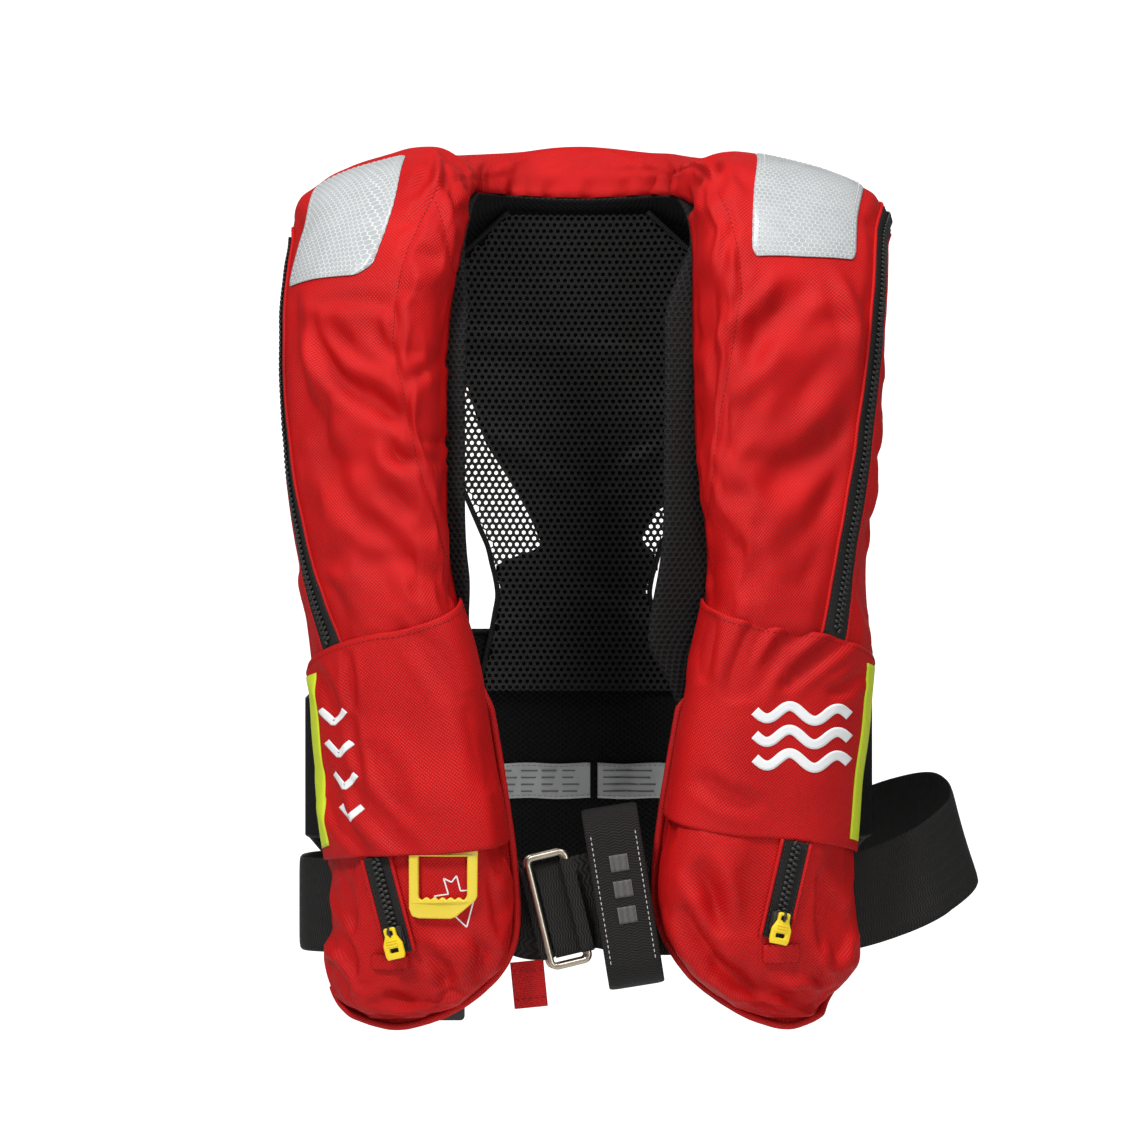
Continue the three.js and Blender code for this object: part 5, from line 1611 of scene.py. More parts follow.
def make_handle(finish):
    outer = [
        (HANDLE_LEFT + 1, HANDLE_TOP), (HANDLE_RIGHT - 1, HANDLE_TOP), (HANDLE_RIGHT, HANDLE_TOP - 2),
        (HANDLE_RIGHT, -364), (HANDLE_RIGHT - 1, -366.5), (-65.5, -375), (-68, HANDLE_FOOT), (-85, HANDLE_FOOT),
        (-88.4, -375), (HANDLE_LEFT, -371), (HANDLE_LEFT, HANDLE_TOP - 2),
    ]
    bumps = [(-83 + 21 * s, -366.3 + 1.5 * abs(math.sin(5 * math.pi * s))) for s in np.linspace(0, 1, 41)]
    inner = [(-85, -343), (-85, -364.5), (-84.2, -366), *bumps, (-60.6, -365.4), (-60, -363), (-60, -343)]
    outlines = [[tuple(p * MM) for p in polyline([*ring, ring[0]], 1.0)[:-1]] for ring in (outer, inner)]
    piece = plate("inflation_handle_moulding", outlines, HANDLE_THICKNESS, 0.8 * MM, finish["handle"], on_left_cover)
    hand_over(piece, "yellow_plastic", "inflation_handle", body="handle")


# ---- printed marks ----


def stroke(name, line, width, material, surface, side, height=0.25 * MM):
    """A painted line of the front view, points in mm, lying on a surface."""
    line = polyline(line, 0.8)
    along = unit(np.gradient(line, axis=0))
    aside = np.stack([-along[:, 1], along[:, 0]], -1)
    columns = np.linspace(-width / 2, width / 2, 5)
    flat = line[:, None] + aside[:, None] * columns[None, :, None]
    u, a = spot(side, flat[..., 0], flat[..., 1])
    place, out = surface(u, a)
    hand_over(sheet_piece(name, place + out * height, material, height * 0.8, out), "label_cloth")


def make_marks(finish):
    white = finish["white_print"]
    surface = band_surface("right")
    for k in range(3):
        top = -266 - 12.5 * k
        wave = [(92 + 50 * s, top - 3.6 * math.sin(4 * math.pi * s) - 3 * s) for s in np.linspace(0, 1, 40)]
        stroke("wave_mark_%d" % k, wave, 5.2, white, surface, "right")
    surface = band_surface("left")
    for k in range(4):
        middle, top = -130 + 3.2 * k, -266 - 17 * k
        chevron = [(middle - 6.5, top), (middle, top - 7), (middle + 6.5, top)]
        stroke("chevron_mark_%d" % k, chevron, 3.4, white, surface, "left")
    arrow = [
        (-72.3, -355), (-68.1, -357), (-65.4, -353.5), (-63.4, -361.6), (-55, -361), (-60.1, -381), (-77.5, -364.6),
        (-69.8, -363.4), (-72.3, -355),
    ]
    stroke("arrow_mark", arrow, 0.75, white, cover_at, "left", 0.22 * MM)


# ---- edge cord and linings ----

PIPING_DIAMETER = 4.4 * MM


def centripetal(points, count):
    """Evenly spaced points and directions along a centripetal Catmull-Rom curve."""
    p = np.asarray(points, float)
    ends = np.vstack([2 * p[0] - p[1], p, 2 * p[-1] - p[-2]])
    fine = []
    per_span = 60
    for i in range(len(p) - 1):
        p0, p1, p2, p3 = ends[i : i + 4]
        d0, d1, d2 = (math.sqrt(np.linalg.norm(b - a)) for a, b in ((p0, p1), (p1, p2), (p2, p3)))
        t1 = ((p1 - p0) / d0 - (p2 - p0) / (d0 + d1) + (p2 - p1) / d1) * d1
        t2 = ((p2 - p1) / d1 - (p3 - p1) / (d1 + d2) + (p3 - p2) / d2) * d1
        w = np.linspace(0, 1, per_span, endpoint=False)[:, None]
        fine.append(p1 + t1 * w + (-3 * p1 + 3 * p2 - 2 * t1 - t2) * w**2 + (2 * p1 - 2 * p2 + t1 + t2) * w**3)
    fine = np.vstack([*fine, p[-1:]])
    lengths = lengths_along(fine)
    at = np.linspace(0, lengths[-1], count) if np.ndim(count) == 0 else np.asarray(count) * lengths[-1]
    even = np.stack([np.interp(at, lengths, fine[:, k]) for k in range(3)], -1)
    slopes = unit(np.gradient(fine, axis=0))
    along = unit(np.stack([np.interp(at, lengths, slopes[:, k]) for k in range(3)], -1))
    return even, along


def make_piping(side, finish):
    reach = PIPING_DIAMETER / 2 + GAP + 0.7 * MM

    def edge_point(t, a):
        u = from_foot(side, t)
        along = lobe(u + 0.04, a, 0) - lobe(u - 0.04, a, 0)
        aside = unit(np.cross(along, unit(catmull(UPWARD, u))))
        point = lobe(u, a, 0)
        sign = 1 if (point - lobe(u, 1 - a, 0)) @ aside > 0 else -1
        return point + aside * sign * reach

    foot = lobe(from_foot(side, 0), 0.5, 0) + np.array([0, 0, -reach - 1.5 * MM])
    inner = [edge_point(t, 0.0) for t in (4.9, 4.5, 4, 3.5, 3, 2.6, 2.2, 1.8, 1.4, 1, 0.6, 0.3)]  # stations
    outer = [edge_point(t, 1.0) for t in (0.3, 0.6, 1, 1.3)]
    route, _ = centripetal([*inner, foot, *outer], 260)
    rim = [lobe(from_foot(side, np.linspace(4.9, 0.02, 200)), 0.0, 0)]
    rim = np.vstack([*rim, lobe(from_foot(side, np.linspace(0.02, 1.45, 80)), 1.0, 0)])
    near = rim[np.argmin(np.linalg.norm(route[:, None] - rim[None], axis=-1), axis=1)]
    even = np.ones(13) / 13
    near = np.stack([np.convolve(np.pad(near[:, k], 6, mode="edge"), even, "valid") for k in range(3)], -1)
    count = np.arange(len(route))
    tuck = np.maximum(1 - smooth_step(count, 0, 16), smooth_step(count, len(route) - 22, len(route)))[:, None]
    route = route * (1 - tuck) + (near + np.array([0, 3.0, 0]) * MM) * tuck
    share = np.linspace(0, 1, 5)[None, :, None]
    inwards = unit(lobe(from_foot(side, 1.2), 0.5, 0) - near)
    flange = route[:, None] * (1 - share) + (near + inwards * 3 * MM)[:, None] * share
    welt = sheet_piece("piping_" + side + "_welt", flange, finish["red"], 0.8 * MM, np.array([0, -1.0, 0]))
    hand_over(welt, "red_piping")
    piece = tube("piping_" + side + "_cord", route, PIPING_DIAMETER / 2 - 0.15 * MM, finish["red_cord"], 14, 0.02)
    hand_over(piece, "red_piping", "piping_" + side)


LINING_STRIP = {"left": 10 * MM, "right": 16 * MM}
LINING_SPREAD = 0.85  # how much wider the right strip grows beside the armhole


def make_lining(name, low, high, strip, finish):
    rows = np.linspace(low, high, int((high - low) * 14))
    t = np.minimum(rows, LAST - rows)
    inner, outer = lobe(rows, 0.0, 0), lobe(rows, 1.0, 0)
    wide = strip > 12 * MM
    start = 4.5 if wide else 5.2
    reach = smooth_step(t, start, start + 0.8) * (1 - smooth_step(t, 8, 9))
    outwards = unit(inner - outer)
    spread = 1 + LINING_SPREAD * wide * np.exp(-(((t - 5.6) / 1.0) ** 2))
    inner = inner + outwards * (reach * strip * spread)[:, None]
    outer = outer + outwards * (1.5 * MM + GAP + 0.3 * MM)
    back = -unit(catmull(UPWARD, rows))
    s = np.sin(np.linspace(0, math.pi / 2, 22)) ** 1.3
    points = inner[:, None] * (1 - s)[None, :, None] + outer[:, None] * s[None, :, None]
    bulge = np.exp(-((s - 0.05) / 0.06) ** 2)[None] * (reach * 1.6 * MM)[:, None]
    points = points + back[:, None] * (GAP + 0.15 * MM) - back[:, None] * bulge[..., None]
    piece = sheet_piece(name + "_mesh", points, finish["lining"], 1.4 * MM, -back[:, None] * np.ones((1, 22, 1)))
    hand_over_sheet(piece, points, "black_mesh", [name])


def make_linings(finish):
    gap_at_seam = 0.012
    make_lining("lining_left", 0.3, SHOULDER - gap_at_seam, LINING_STRIP["left"], finish)
    make_lining("lining_right", LAST - SHOULDER + gap_at_seam, LAST - 0.3, LINING_STRIP["right"], finish)
    make_lining("lining_collar", SHOULDER + gap_at_seam, LAST - SHOULDER - gap_at_seam, 0, finish)


# ---- back ----

MESH_ROWS = [  # y, z, left, right and bow, in mm
    (60, 9, -40, 38, 0.005),
    (78, -22, -74, 72, 0.0035),
    (94, -70, -88, 86, 0.0022),
    (103, -120, -78, 76, 0.002),
    (106, -150, -64, 60, 0.002),
    (107, -178, -52, 46, 0.002),
    (107, -203, -46, 39, 0.002),
    (105.6, -222, -49, 44, 0.002),
    (103.6, -262, -58, 54, 0.002),
]
YOKE_ROWS = [
    (118.5, -30.9, -72, 74, 0.002),
    (113, -70, -86, 84, 0.002),
    (112, -120, -73, 71, 0.002),
    (111, -150, -59, 55, 0.002),
    (110, -185, -44, 37, 0.002),
]


def back_rows(table, z):
    """y, left, right and bow of a back sheet at heights z, all in mm."""
    table = np.asarray(table, float)
    heights = table[::-1, 1]
    return [np.interp(z, heights, table[::-1, k]) for k in (0, 2, 3, 4)]


def back_point(table, x, z, forward=0.0):
    y, _, _, bow = back_rows(table, z)
    return np.stack([x, y - bow * x * x - forward, z], -1) * MM


MESH_TOP, MESH_FOOT = 9, -262
NET_PITCH = 3.9
NET_HOLE = 0.56


def back_ripple(x, z):
    """The back's folds, in mm towards the front."""
    height = 2.4 * np.exp(-(((z + 66 + 0.1 * x) / 6) ** 2)) + 1.8 * np.exp(-(((z + 112 - 0.2 * x) / 9) ** 2))
    height = height + 2.0 * np.exp(-(((z + 150 - 0.7 * np.abs(x - 4)) / 7) ** 2)) * (np.abs(x) < 60)
    height = height + 1.4 * np.exp(-(((z + 205 + 0.5 * np.abs(x - 2)) / 8) ** 2))
    return height + 0.7 * np.sin(x / 13.0 + z / 23.0) * np.sin(z / 11.0)


def open_left(z):
    """Width in mm of the see-through band beside the left armhole."""
    return (20 + 10 * smooth_step(-z, 84, 168)) * smooth_step(-z, 72, 88) * (1 - smooth_step(-z, 176, 190))


def open_right(z):
    return 12 * smooth_step(-z, 148, 160) * (1 - smooth_step(-z, 172, 184))


def make_back_net(finish):
    """A lattice of triangles over the back, opened into a net of six-sided holes."""
    row_step = NET_PITCH * math.sqrt(3) / 2
    heights = np.arange(MESH_TOP, MESH_FOOT, -row_step)
    columns = np.arange(-96, 96, NET_PITCH)
    lattice = []
    for k, z in enumerate(heights):
        x = columns + (NET_PITCH / 2 if k % 2 else 0)
        row_z = np.full(x.shape, z)
        lattice.append(back_point(MESH_ROWS, x, row_z, back_ripple(x, row_z)))
    lattice = np.array(lattice)
    count = len(columns)
    faces = []
    for k in range(len(heights) - 1):
        _, left, right, _ = back_rows(MESH_ROWS, (heights[k] + heights[k + 1]) / 2)
        for j in range(count - 1):
            p, q, r, s = k * count + j, k * count + j + 1, (k + 1) * count + j, (k + 1) * count + j + 1
            pairs = ((p, r, q), (q, r, s)) if k % 2 == 0 else ((p, r, s), (p, s, q))
            x = columns[j] + NET_PITCH / 2
            if left - 2 < x < right + 2:
                faces.extend(pairs)
    points = lattice.reshape(-1, 3)
    used = sorted({i for f in faces for i in f})
    new = {i: n for n, i in enumerate(used)}
    mesh = mesh_from("back_net", points[used], [[new[i] for i in f] for f in faces], points[used][:, ::2])
    net = link("back_mesh_net", mesh, finish["net"])
    run_tree(TREES["net"], net, {"Hole": NET_HOLE, "Finish": finish["net"]})
    thick = net.modifiers.new("thick", "SOLIDIFY")
    thick.thickness = 0.9 * MM
    thick.offset = 0
    hand_over(net, "black_mesh", "back_mesh")


def make_back_bindings(finish):
    z = np.linspace(MESH_TOP, MESH_FOOT, 30)
    _, left, right, _ = back_rows(MESH_ROWS, z)
    for name, edge in (("left", left), ("right", right)):
        route = back_point(MESH_ROWS, edge, z, back_ripple(edge, z))
        rim = tube("back_binding_" + name, centripetal(route, 140)[0], 1.5 * MM, finish["webbing"], 10)
        hand_over(rim, "black_mesh")


def make_backing(finish):
    """The knit behind the net, left out along the open bands beside the armholes."""
    z = np.linspace(4, -260, 90)
    _, left, right, _ = back_rows(MESH_ROWS, z)
    inset_left = 1.5 + open_left(z)
    inset_right = 1.5 + open_right(z)
    share = np.linspace(0, 1, 40)[None]
    x = (left + inset_left)[:, None] * (1 - share) + (right - inset_right)[:, None] * share
    rows = z[:, None] * np.ones((1, 40))
    points = back_point(MESH_ROWS, x, rows, back_ripple(x, rows) - 1.9)
    piece = sheet_piece("back_mesh_knit", points, finish["backing"], 0.6 * MM, np.array([0, -1.0, 0]))
    hand_over_sheet(piece, points, "black_mesh", [])


def make_yoke(finish, lines):
    z = np.linspace(-31, -185, 60)
    _, left, right, _ = back_rows(YOKE_ROWS, z)
    share = np.linspace(0, 1, 60)[None]
    left = np.maximum(left, back_rows(MESH_ROWS, z)[1] + open_left(z) + 1)
    right = np.minimum(right, back_rows(MESH_ROWS, z)[2] - open_right(z) - 1)
    x = left[:, None] * (1 - share) + right[:, None] * share
    ripple = 0.8 * np.sin(x / 14.0) * np.sin(z[:, None] / 19.0) + 0.5 * np.sin(x / 7.0 + z[:, None] / 9.0)
    points = back_point(YOKE_ROWS, x, z[:, None] * np.ones((1, 60)), -1.4)
    points = points + np.stack([0 * x, ripple * MM * 0.6, 0 * x], -1)
    piece = sheet_piece("back_yoke_cloth", points, finish["red"], 1.3 * MM, np.array([0, 1.0, 0]))
    hand_over_sheet(piece, points, "red_cloth", ["back_yoke"])
    for edge in (points[:, 2], points[:, -3]):
        lines["dark_thread"].append((polyline(edge) + np.array([0, 0.2, 0]) * MM, np.array([0, 1.0, 0])))


# ---- waist ----

WAIST_PLAN = [  # x, y in mm, round the wearer from the left
    (-149, -12), (-140, 40), (-100, 82), (-50, 103), (0, 108), (52, 102.6), (104, 82), (148, 40), (159, -10),
]
WAIST_STATION = 4.3
WAIST_THICKNESS = 1.6 * MM
LINING_THICKNESS = 1.4 * MM


def waist_end(side):
    u = from_foot(side, WAIST_STATION)
    point = lobe(u, 0.0, 0) * 0.08 + lobe(u, 1.0, 0) * 0.92
    point = point + np.array([0, 2 * GAP + LINING_THICKNESS + 0.85 * MM, 0])
    point[2] = 0
    return point


WAIST_ROUTE = [waist_end("left"), *(np.array((x, y, 0)) * MM for x, y in WAIST_PLAN), waist_end("right")]


def waist_points(s, out, z):
    """Points of the waist line, s from 0 to 1, set out from the wearer by out, at height z."""
    point, along = centripetal(WAIST_ROUTE, s)
    outwards = np.stack([-along[:, 1], along[:, 0], 0 * along[:, 0]], -1)
    point = point + outwards * np.reshape(out, (-1, 1))
    point[:, 2] = z
    return point


def make_waist(finish, lines):
    s = np.linspace(0, 1, 200)
    side = smooth_step(np.abs(s - 0.5), 0.16, 0.4)
    top, bottom = (-226 + (-262 + 226) * side) * MM, (-385 + (-336 + 385) * side) * MM
    columns = []
    for k in np.linspace(0, 1, 40):
        z = top * (1 - k) + bottom * k
        label_band = np.exp(-(((z / MM + 311) / 14) ** 2))
        wave = 0.9 * np.sin(z / MM / 11.0 + 3 * np.sin(s * 9)) * (1 - label_band) * (1 - side)
        columns.append(waist_points(s, np.maximum(wave, -0.2) * MM, z))
    points = np.stack(columns, 1)
    inward = -np.stack([np.sin((s - 0.5) * 3), np.cos((s - 0.5) * 3), 0 * s], -1)[:, None] * np.ones((1, 40, 1))
    piece = sheet_piece("waist_panel_mesh", points, finish["waist"], WAIST_THICKNESS * 0.9, inward)
    hand_over_sheet(piece, points, "black_mesh", ["waist_panel"])
    for name, column in (("top", 0), ("bottom", -1)):
        rim = tube("waist_binding_" + name, points[::2, column], 1.5 * MM, finish["webbing"], 10)
        hand_over(rim, "black_mesh")
    make_label("left", 0.402, 0.505, finish, lines)
    make_label("right", 0.513, 0.588, finish, lines)


LABEL_TOP, LABEL_FOOT = -301, -321


def make_label(name, low, high, finish, lines):
    s = np.linspace(low, high, 50)
    rows = []
    for k in np.linspace(0, 1, 14):
        z = (LABEL_TOP + (LABEL_FOOT - LABEL_TOP) * k) * MM
        rows.append(waist_points(s, (-1.0 - 0.25 * np.sin(s * 160)) * MM, z + 0.35 * MM * np.sin(s * 90)))
    points = np.stack(rows, 1)
    inward = np.array([0, -1.0, 0])
    piece = sheet_piece("instruction_label_" + name + "_cloth", points, finish["label"], 0.45 * MM, inward)
    hand_over_sheet(piece, points, "label_cloth", ["instruction_label_" + name])
    for k in (1, 12):
        lines["grey_thread"].append((polyline(points[1:-1, k]) + inward * 0.1 * MM, inward))
    for row in range(4):
        z = (LABEL_TOP - 4.2 - 3.9 * row) * MM
        starts = np.linspace(low + 0.006, high - 0.03, 4)
        for part, start in enumerate(starts):
            length = 0.012 + 0.008 * ((row * 7 + part * 3) % 4) / 4
            t = np.linspace(start, min(start + length, high - 0.006), 14)
            line = np.stack([waist_points(t, -1.3 * MM, z + k * MM) for k in (0.45, 0, -0.45)], 1)
            rule_name = "label_rule_%s_%d_%d" % (name, row, part)
            hand_over(sheet_piece(rule_name, line, finish["grey_print"], 0.1 * MM, inward), "label_cloth")


# ---- webbing ----

WEBBING_WIDTH = 50.8 * MM
WEBBING_THICKNESS = 2.4 * MM
BELT_HEIGHT = -373
BAR = 3.4 * MM
BUCKLE_WIDTH = 24 * MM
BUCKLE_LENGTH = WEBBING_WIDTH + 2 * BAR + 5.4 * MM
BUCKLE_LEAN = 0.24
BUCKLE_PITCH = 7.5 * MM
LEANING = unit(np.array([-BUCKLE_LEAN, 0, 1.0]))
VERTICAL = np.array([0, 0, 1.0])
HOOK = np.array([-13, -82, BELT_HEIGHT]) * MM
RECEIVER = HOOK + np.array([1.5 * MM, -BUCKLE_PITCH, 0])
BAR_TO_CENTRE = BUCKLE_WIDTH / 2 - BAR / 2
WRAP = BAR / 2 + 0.7 * MM + WEBBING_THICKNESS / 2
SIDEWAYS = unit(np.array([1, 0, BUCKLE_LEAN]))
BELT_STATION = 3.04


def webbing(name, centre, along, across, width, thickness, material, closed=False):
    """A woven strap: a flat section with full edges, swept along its centre line."""
    across = unit(across - along * np.sum(across * along, -1, keepdims=True))
    normal = unit(np.cross(along, across))
    half = 12
    x = np.sin(np.linspace(-math.pi / 2, math.pi / 2, half + 1))
    tall = np.sqrt(np.clip(1 - np.abs(x) ** 10, 0, 1)) * (1 + 0.16 * np.exp(-((np.abs(x) - 0.93) / 0.04) ** 2))
    section_x = np.concatenate([x, x[-2:0:-1]])
    section_y = np.concatenate([tall, -tall[-2:0:-1]])
    section_y[0] = section_y[half] = 0
    rings = (
        centre[:, None]
        + across[:, None] * (section_x * width / 2)[None, :, None]
        + normal[:, None] * (section_y * thickness / 2)[None, :, None]
    )
    rows, columns = rings.shape[:2]
    lengths = lengths_along(centre)
    uv = np.stack(np.broadcast_arrays((section_x * width / 2)[None], lengths[:, None]), -1).reshape(-1, 2)
    faces = [*quads(rows, columns, 0, False, True)]
    if closed:
        faces += closing_quads(rows, columns)
    else:
        for base in (0, (rows - 1) * columns):
            for k in range(half):
                p, q = base + k, base + k + 1
                r, s = base + (columns - k - 1) % columns, base + (columns - k) % columns
                faces.append((p, q, r, s) if k else (p, q, r))
    mesh = mesh_from(name, rings.reshape(-1, 3), [tuple(dict.fromkeys(f)) for f in faces], uv)
    face_outwards(mesh)
    mesh.set_sharp_from_angle(angle=math.radians(60))
    return link(name, mesh, material)


def beside(centre, dx, dy):
    return centre + SIDEWAYS * dx * MM + np.array([0, dy * MM, 0])


def behind_lining(side, s):
    u = from_foot(side, BELT_STATION)
    point = lobe(u, 0.0, 0) * (1 - s) + lobe(u, 1.0, 0) * s
    point = point + np.array([0, 2 * GAP + LINING_THICKNESS + WEBBING_THICKNESS / 2 + 0.8 * MM, 0])
    point[2] = BELT_HEIGHT * MM
    return point


def behind_piping(side, reach):
    u = from_foot(side, BELT_STATION)
    towards = reach if side == "left" else -reach
    clear = PIPING_DIAMETER / 2 + GAP + WEBBING_THICKNESS / 2 + 0.9 * MM
    point = lobe(u, 0.0, 0) + np.array([towards * MM, clear, 0])
    point[2] = BELT_HEIGHT * MM
    return point


def belt_routes():
    wrap = WRAP / MM
    clear = WAIST_THICKNESS + GAP + WEBBING_THICKNESS / 2

    def waist(values):
        return waist_points(np.array(values), clear, BELT_HEIGHT * MM)

    left_bar = HOOK - SIDEWAYS * BAR_TO_CENTRE
    left = [
        beside(left_bar, -3.5, -wrap), beside(left_bar, -1, -wrap), beside(left_bar, wrap * 0.72, -wrap * 0.72),
        beside(left_bar, wrap, 0), beside(left_bar, wrap * 0.72, wrap * 0.72), beside(left_bar, -1, wrap),
        behind_piping("left", 3), *(behind_lining("left", s) for s in (0.06, 0.2, 0.45, 0.75, 0.95)),
        np.array([-148, -38, BELT_HEIGHT]) * MM, *waist([0.14, 0.2, 0.26, 0.32, 0.38, 0.44, 0.4998]),
    ]
    right_bar = RECEIVER + SIDEWAYS * BAR_TO_CENTRE
    slack = [
        (96, 95, -370), (124, 88, -360), (152, 72, -345), (181, 46, -332), (203, 12, -328), (209, -20, -340),
        (192, -39, -354), (166, -46, -366),
    ]
    right = [
        *waist([0.5002, 0.56, 0.62]), *(np.array(p) * MM for p in slack),
        *(behind_lining("right", s) for s in (0.9, 0.7, 0.4, 0.2, 0.06)),
        behind_piping("right", 3), behind_piping("right", 15), beside(right_bar, 9, wrap + 0.4),
        beside(right_bar, 1, wrap), beside(right_bar, -wrap * 0.72, wrap * 0.72), beside(right_bar, -wrap, 0),
        beside(right_bar, -wrap * 0.72, -wrap * 0.72), beside(right_bar, 1, -wrap), beside(right_bar, 3.5, -wrap),
    ]
    return left, right


def lerp_rows(p, q, t):
    return p * (1 - t)[:, None] + q * t[:, None]


def make_belt_piece(name, centre, along, across, finish, nodes=(), thickness=WEBBING_THICKNESS):
    across = np.broadcast_to(across, centre.shape)
    piece = webbing(name, centre, along, across, WEBBING_WIDTH, thickness, finish["webbing"])
    hand_over(piece, "black_webbing", *nodes)


def make_belt(finish, lines):
    left, right = belt_routes()
    s = np.linspace(0, 1, 420)
    s_left = s**1.5
    centre, along = centripetal(left, s_left)
    across = lerp_rows(LEANING, VERTICAL, smooth_step(s_left, 0.06, 0.13))
    make_belt_piece("belt_left_webbing", centre, along, across, finish, ["belt_left"])
    s_right = 1 - (1 - s) ** 1.5
    centre, along = centripetal(right, s_right)
    tilt = np.array([-0.5, 0, 0.86])
    loop = smooth_step(s_right, 0.22, 0.36) * (1 - smooth_step(s_right, 0.5, 0.62))
    across = lerp_rows(VERTICAL, tilt, 0.55 * loop)
    across = lerp_rows(across, LEANING, smooth_step(s_right, 0.88, 0.94))
    make_belt_piece("belt_right_webbing", centre, along, across, finish, ["belt_right"])
    s = np.linspace(0.478, 0.522, 24)
    centre = waist_points(s, WAIST_THICKNESS + GAP + 1.55 * WEBBING_THICKNESS, BELT_HEIGHT * MM)
    along = unit(np.gradient(centre, axis=0))
    make_belt_piece("belt_join_webbing", centre, along, VERTICAL, finish, thickness=1.6 * MM)
    behind = np.array([0, 1.0, 0])
    low, high = centre[2], centre[-3]
    reach = 22  # mm from the belt's middle
    crossing = [((low, -reach), (high, reach)), ((low, reach), (high, -reach))]
    for ends in (*crossing, ((low, -reach), (low, reach)), ((high, -reach), (high, reach))):
        corners = [point + (VERTICAL * k + behind * 1.1) * MM for point, k in ends]
        lines["grey_thread"].append((polyline(corners), behind))


def make_belt_end(finish):
    """The right belt's folded end, which shows inside the buckle."""
    right_bar = RECEIVER + SIDEWAYS * BAR_TO_CENTRE
    start, end = 3.0, 2 * BAR_TO_CENTRE / MM - 3.0
    centre = np.array([beside(right_bar, -k, 2.7) for k in np.linspace(start, end, 14)])
    along = np.broadcast_to(-SIDEWAYS, centre.shape)
    make_belt_piece("belt_right_end", centre, along, LEANING, finish, thickness=1.6 * MM)


def make_buckle(finish):
    y = LEANING
    z = np.array([0, -1.0, 0])
    x = np.cross(y, z)
    for name, centre, body in (("buckle_hook", HOOK, "buckle_hook"), ("buckle_receiver", RECEIVER, "vest")):
        path = rounded_outline(BUCKLE_WIDTH - BAR, BUCKLE_LENGTH - BAR, 3.2 * MM, 8)
        path = polyline([*path, path[0]], 1 * MM)[:-1]
        flat = Place(centre, x, y, z)
        count = len(path)
        along = unit(np.roll(path, -1, 0) - np.roll(path, 1, 0))
        aside = np.stack([along[:, 1], -along[:, 0]], -1)
        sides, squarish = 14, 0.75
        turn = np.arange(sides) * 2 * math.pi / sides
        circle = np.stack([np.cos(turn), np.sin(turn)], -1)
        section = np.sign(circle) * np.abs(circle) ** squarish * BAR / 2
        ring = np.zeros((count, sides, 3))
        ring[..., :2] = path[:, None] + aside[:, None] * section[None, :, :1]
        ring[..., 2] = section[None, :, 1]
        faces = [*quads(count, sides, 0, False, True), *closing_quads(count, sides)]
        mesh = mesh_from(name, flat.at(ring.reshape(-1, 3)), faces, ring.reshape(-1, 3)[:, :2])
        face_outwards(mesh)
        piece = link(name + "_frame", mesh, finish["steel"])
        hand_over(piece, "buckle_steel", name, body=body)


LOOP_WIDTH, LOOP_HEIGHT, LOOP_DEPTH = 30 * MM, 98 * MM, 31 * MM


def make_harness_loop(finish, lines):
    y = unit(np.array([-0.16, 0, 1.0]))
    x = np.array([0, 1.0, 0])
    z = np.cross(x, y)
    on_belt = behind_lining("right", 0.06)[1] + WEBBING_THICKNESS / 2 + 2 * GAP
    origin = np.array([23 * MM, on_belt - LOOP_DEPTH / 2 + WEBBING_THICKNESS, -366 * MM])
    place = Place(origin, x, y, z)
    radius = (LOOP_DEPTH - WEBBING_THICKNESS) / 2
    straight = LOOP_HEIGHT / 2 - LOOP_DEPTH / 2
    path = []
    for start, height in ((0, straight), (math.pi, -straight)):
        for k in range(25):
            turn = start + math.pi * k / 24
            path.append((radius * math.cos(turn), height + radius * math.sin(turn), 0))
    path = polyline([*path, path[0]], 1.2 * MM)[:-1]
    centre = place.at(path)
    along = unit(np.roll(centre, -1, 0) - np.roll(centre, 1, 0))
    across = np.broadcast_to(z, centre.shape)
    sizes = (LOOP_WIDTH, WEBBING_THICKNESS)
    piece = webbing("harness_loop_webbing", centre, along, across, *sizes, finish["webbing"], closed=True)
    hand_over(piece, "black_webbing", "harness_loop")
    face = -radius - WEBBING_THICKNESS / 2 - 0.1 * MM
    for k in (-1, 1):
        line = [(face, end, k * (LOOP_WIDTH / 2 - 3 * MM)) for end in (-straight, straight)]
        lines["pale_thread"].append((place.at(polyline(line)), -x))
    rows = np.linspace(0, 9 * MM, 8)[:, None]
    columns = np.linspace(-LOOP_WIDTH / 2 + 11 * MM, LOOP_WIDTH / 2 - 9.5 * MM, 90)[None]
    cords = np.abs(np.sin(columns / MM * math.pi / 0.75)) * 0.35 * MM
    for k in range(3):
        grid = np.stack(np.broadcast_arrays(face - cords, (14 - 14 * k) * MM + rows, columns), -1)
        tack = sheet_piece("harness_loop_tack_%d" % k, place.at(grid), finish["tack"], 0.3 * MM, -x)
        hand_over(tack, "label_cloth")


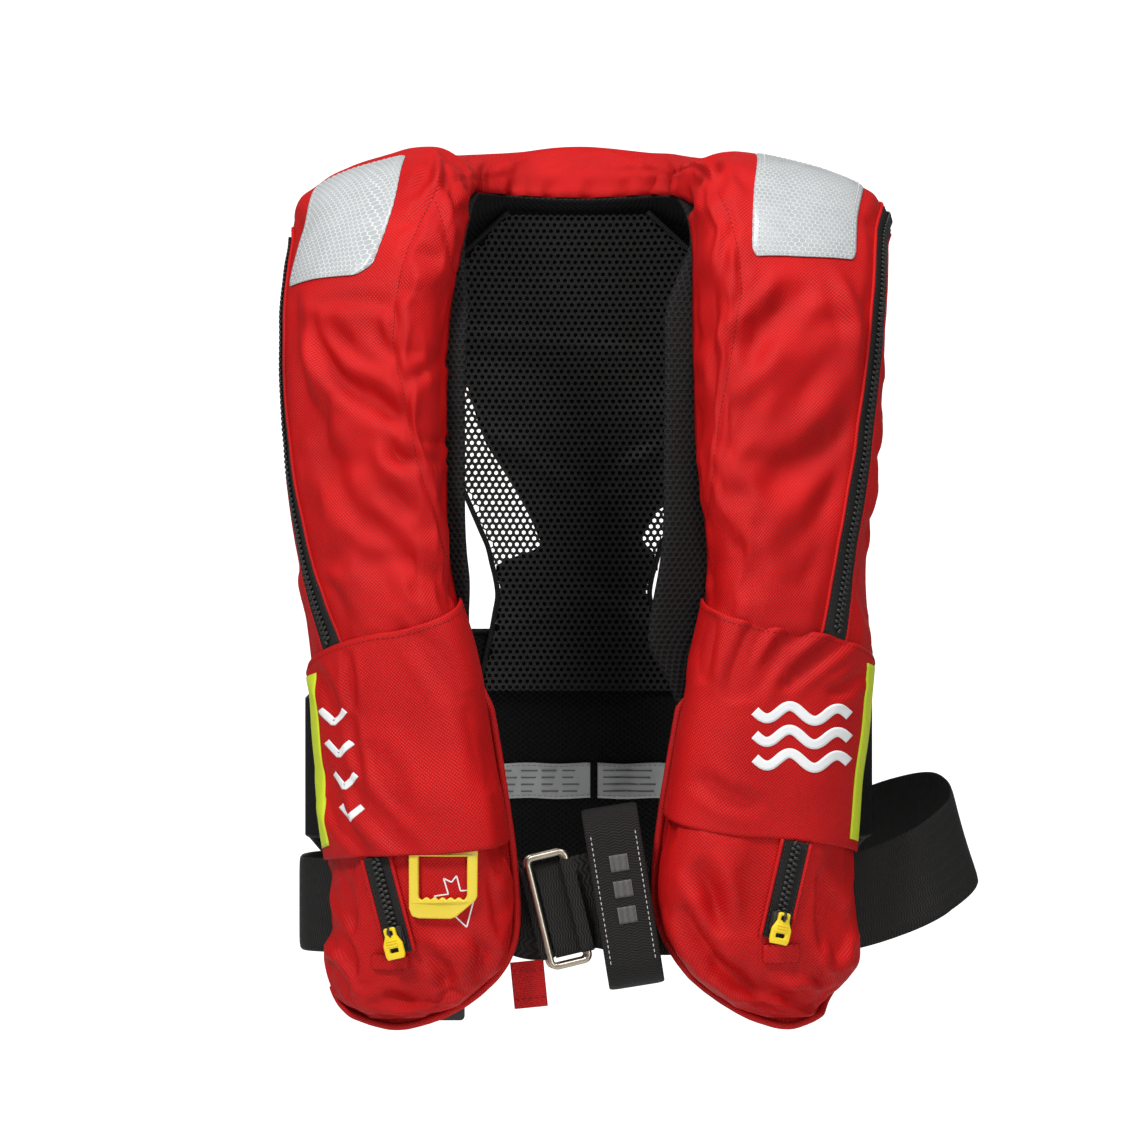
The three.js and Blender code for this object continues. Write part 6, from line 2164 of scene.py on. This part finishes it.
def make_tab(finish):
    y = unit(np.array([-0.1, 0, 1.0]))
    z = np.array([0, -1.0, 0])
    x = np.cross(y, z)
    width, length, thickness = 18 * MM, 25 * MM, 2.0 * MM
    foot = HOOK - SIDEWAYS * BAR_TO_CENTRE - LEANING * WEBBING_WIDTH / 2
    top = foot + np.array([-11.5, 3.2, -1.2]) * MM
    place = Place(top + z * thickness / 2, x, y, z)
    path = [(0, -k, 0.9 * MM * math.sin(k / length * 2.4)) for k in np.linspace(0, length, 40)]
    centre = place.at(path)
    along = unit(np.gradient(centre, axis=0))
    across = np.broadcast_to(x, centre.shape)
    piece = webbing("pull_tab_webbing", centre, along, across, width, thickness, finish["red_webbing"])
    hand_over(piece, "red_webbing", "pull_tab", body="pull_tab")
    marks = []
    for k in (0.2, 0.8):
        row = [(-width / 2 + 2 * MM, -length * k, thickness), (width / 2 - 2 * MM, -length * k, thickness)]
        marks.append((place.at(polyline(row)), z))
    stitches = lines_object("pull_tab_stitches", marks)
    run_tree(TREES["stitches"], stitches, stitch_values(finish["dark_thread"]))
    hand_over(stitches, "red_webbing", body="pull_tab")


LEG_SPOTS = {"left": (-72, -70.5, -403, 15), "right": (84, -70, -403, 6)}


def make_leg_strap(side, finish):
    x, y, z, length = LEG_SPOTS[side]
    centre = np.array([(x, y, z - k * length) for k in np.linspace(0, 1, 12)]) * MM
    along = np.broadcast_to(-VERTICAL, centre.shape)
    across = np.broadcast_to(np.array([1.0, 0, 0]), centre.shape)
    piece = webbing("leg_strap_" + side + "_webbing", centre, along, across, 20 * MM, 2 * MM, finish["webbing"])
    hand_over(piece, "black_webbing", "leg_strap_" + side)


# ---- stitches: every sewn line of a colour is one piece ----


def stitch_values(material):
    return {"Pitch": STITCH_PITCH, "Size": STITCH, "Aside": 0.0, "Finish": material}


def seam_lines(lines):
    for side in ("left", "right"):
        for seam in SEAMS[side]:
            points = polyline(seam, 1.5)
            place, out = cover_at(*spot(side, points[:, 0], points[:, 1]))
            lines["dark_thread"].append((place + out * 0.15 * MM, out))


def make_stitches(finish, lines):
    slots = {
        "dark_thread": "red_cloth",
        "pale_thread": "black_webbing",
        "grey_thread": "label_cloth",
        "black_thread": "zip_tape",
    }
    for name, rows in lines.items():
        piece = lines_object("stitches_" + name, rows)
        run_tree(TREES["stitches"], piece, stitch_values(finish[name]))
        hand_over(piece, slots[name])


# ---- what stays as the model has it ----


def paint_model(finish):
    plain = {
        "gas_cylinder": "gas", "inflator_body": "black", "manifold_neck": "black", "oral_tube": "black",
        "oral_tube_neck": "black", "leg_clip_left": "black", "leg_clip_right": "black", "inflator_cap": "yellow",
        "inflator_lever": "yellow", "oral_cap": "yellow", "whistle": "yellow", "bladder": "bladder",
        "handle_lanyard": "handle",
    }
    for node, name in plain.items():
        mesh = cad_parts[node].data
        mesh.materials.clear()
        mesh.materials.append(finish[name])


TREES = {
    "stitches": row_tree("stitches", False),
    "teeth": row_tree("zip_teeth", True),
    "net": net_tree(),
}

make_camera()
make_stage()
finishes = make_finishes()
sewn_lines = {"dark_thread": [], "pale_thread": [], "grey_thread": [], "black_thread": []}
make_covers(finishes)
for side in ("left", "right"):
    make_band(side, finishes, sewn_lines)
    make_patch(side, finishes, sewn_lines)
    make_upper_zip(side, finishes, sewn_lines)
    make_lower_zip(side, finishes, sewn_lines)
    make_garage(side, finishes, sewn_lines)
    make_piping(side, finishes)
    make_leg_strap(side, finishes)
make_linings(finishes)
make_handle(finishes)
make_marks(finishes)
make_back_net(finishes)
make_backing(finishes)
make_back_bindings(finishes)
make_yoke(finishes, sewn_lines)
make_waist(finishes, sewn_lines)
make_belt(finishes, sewn_lines)
make_belt_end(finishes)
make_buckle(finishes)
make_harness_loop(finishes, sewn_lines)
make_tab(finishes)
seam_lines(sewn_lines)
make_stitches(finishes, sewn_lines)
paint_model(finishes)
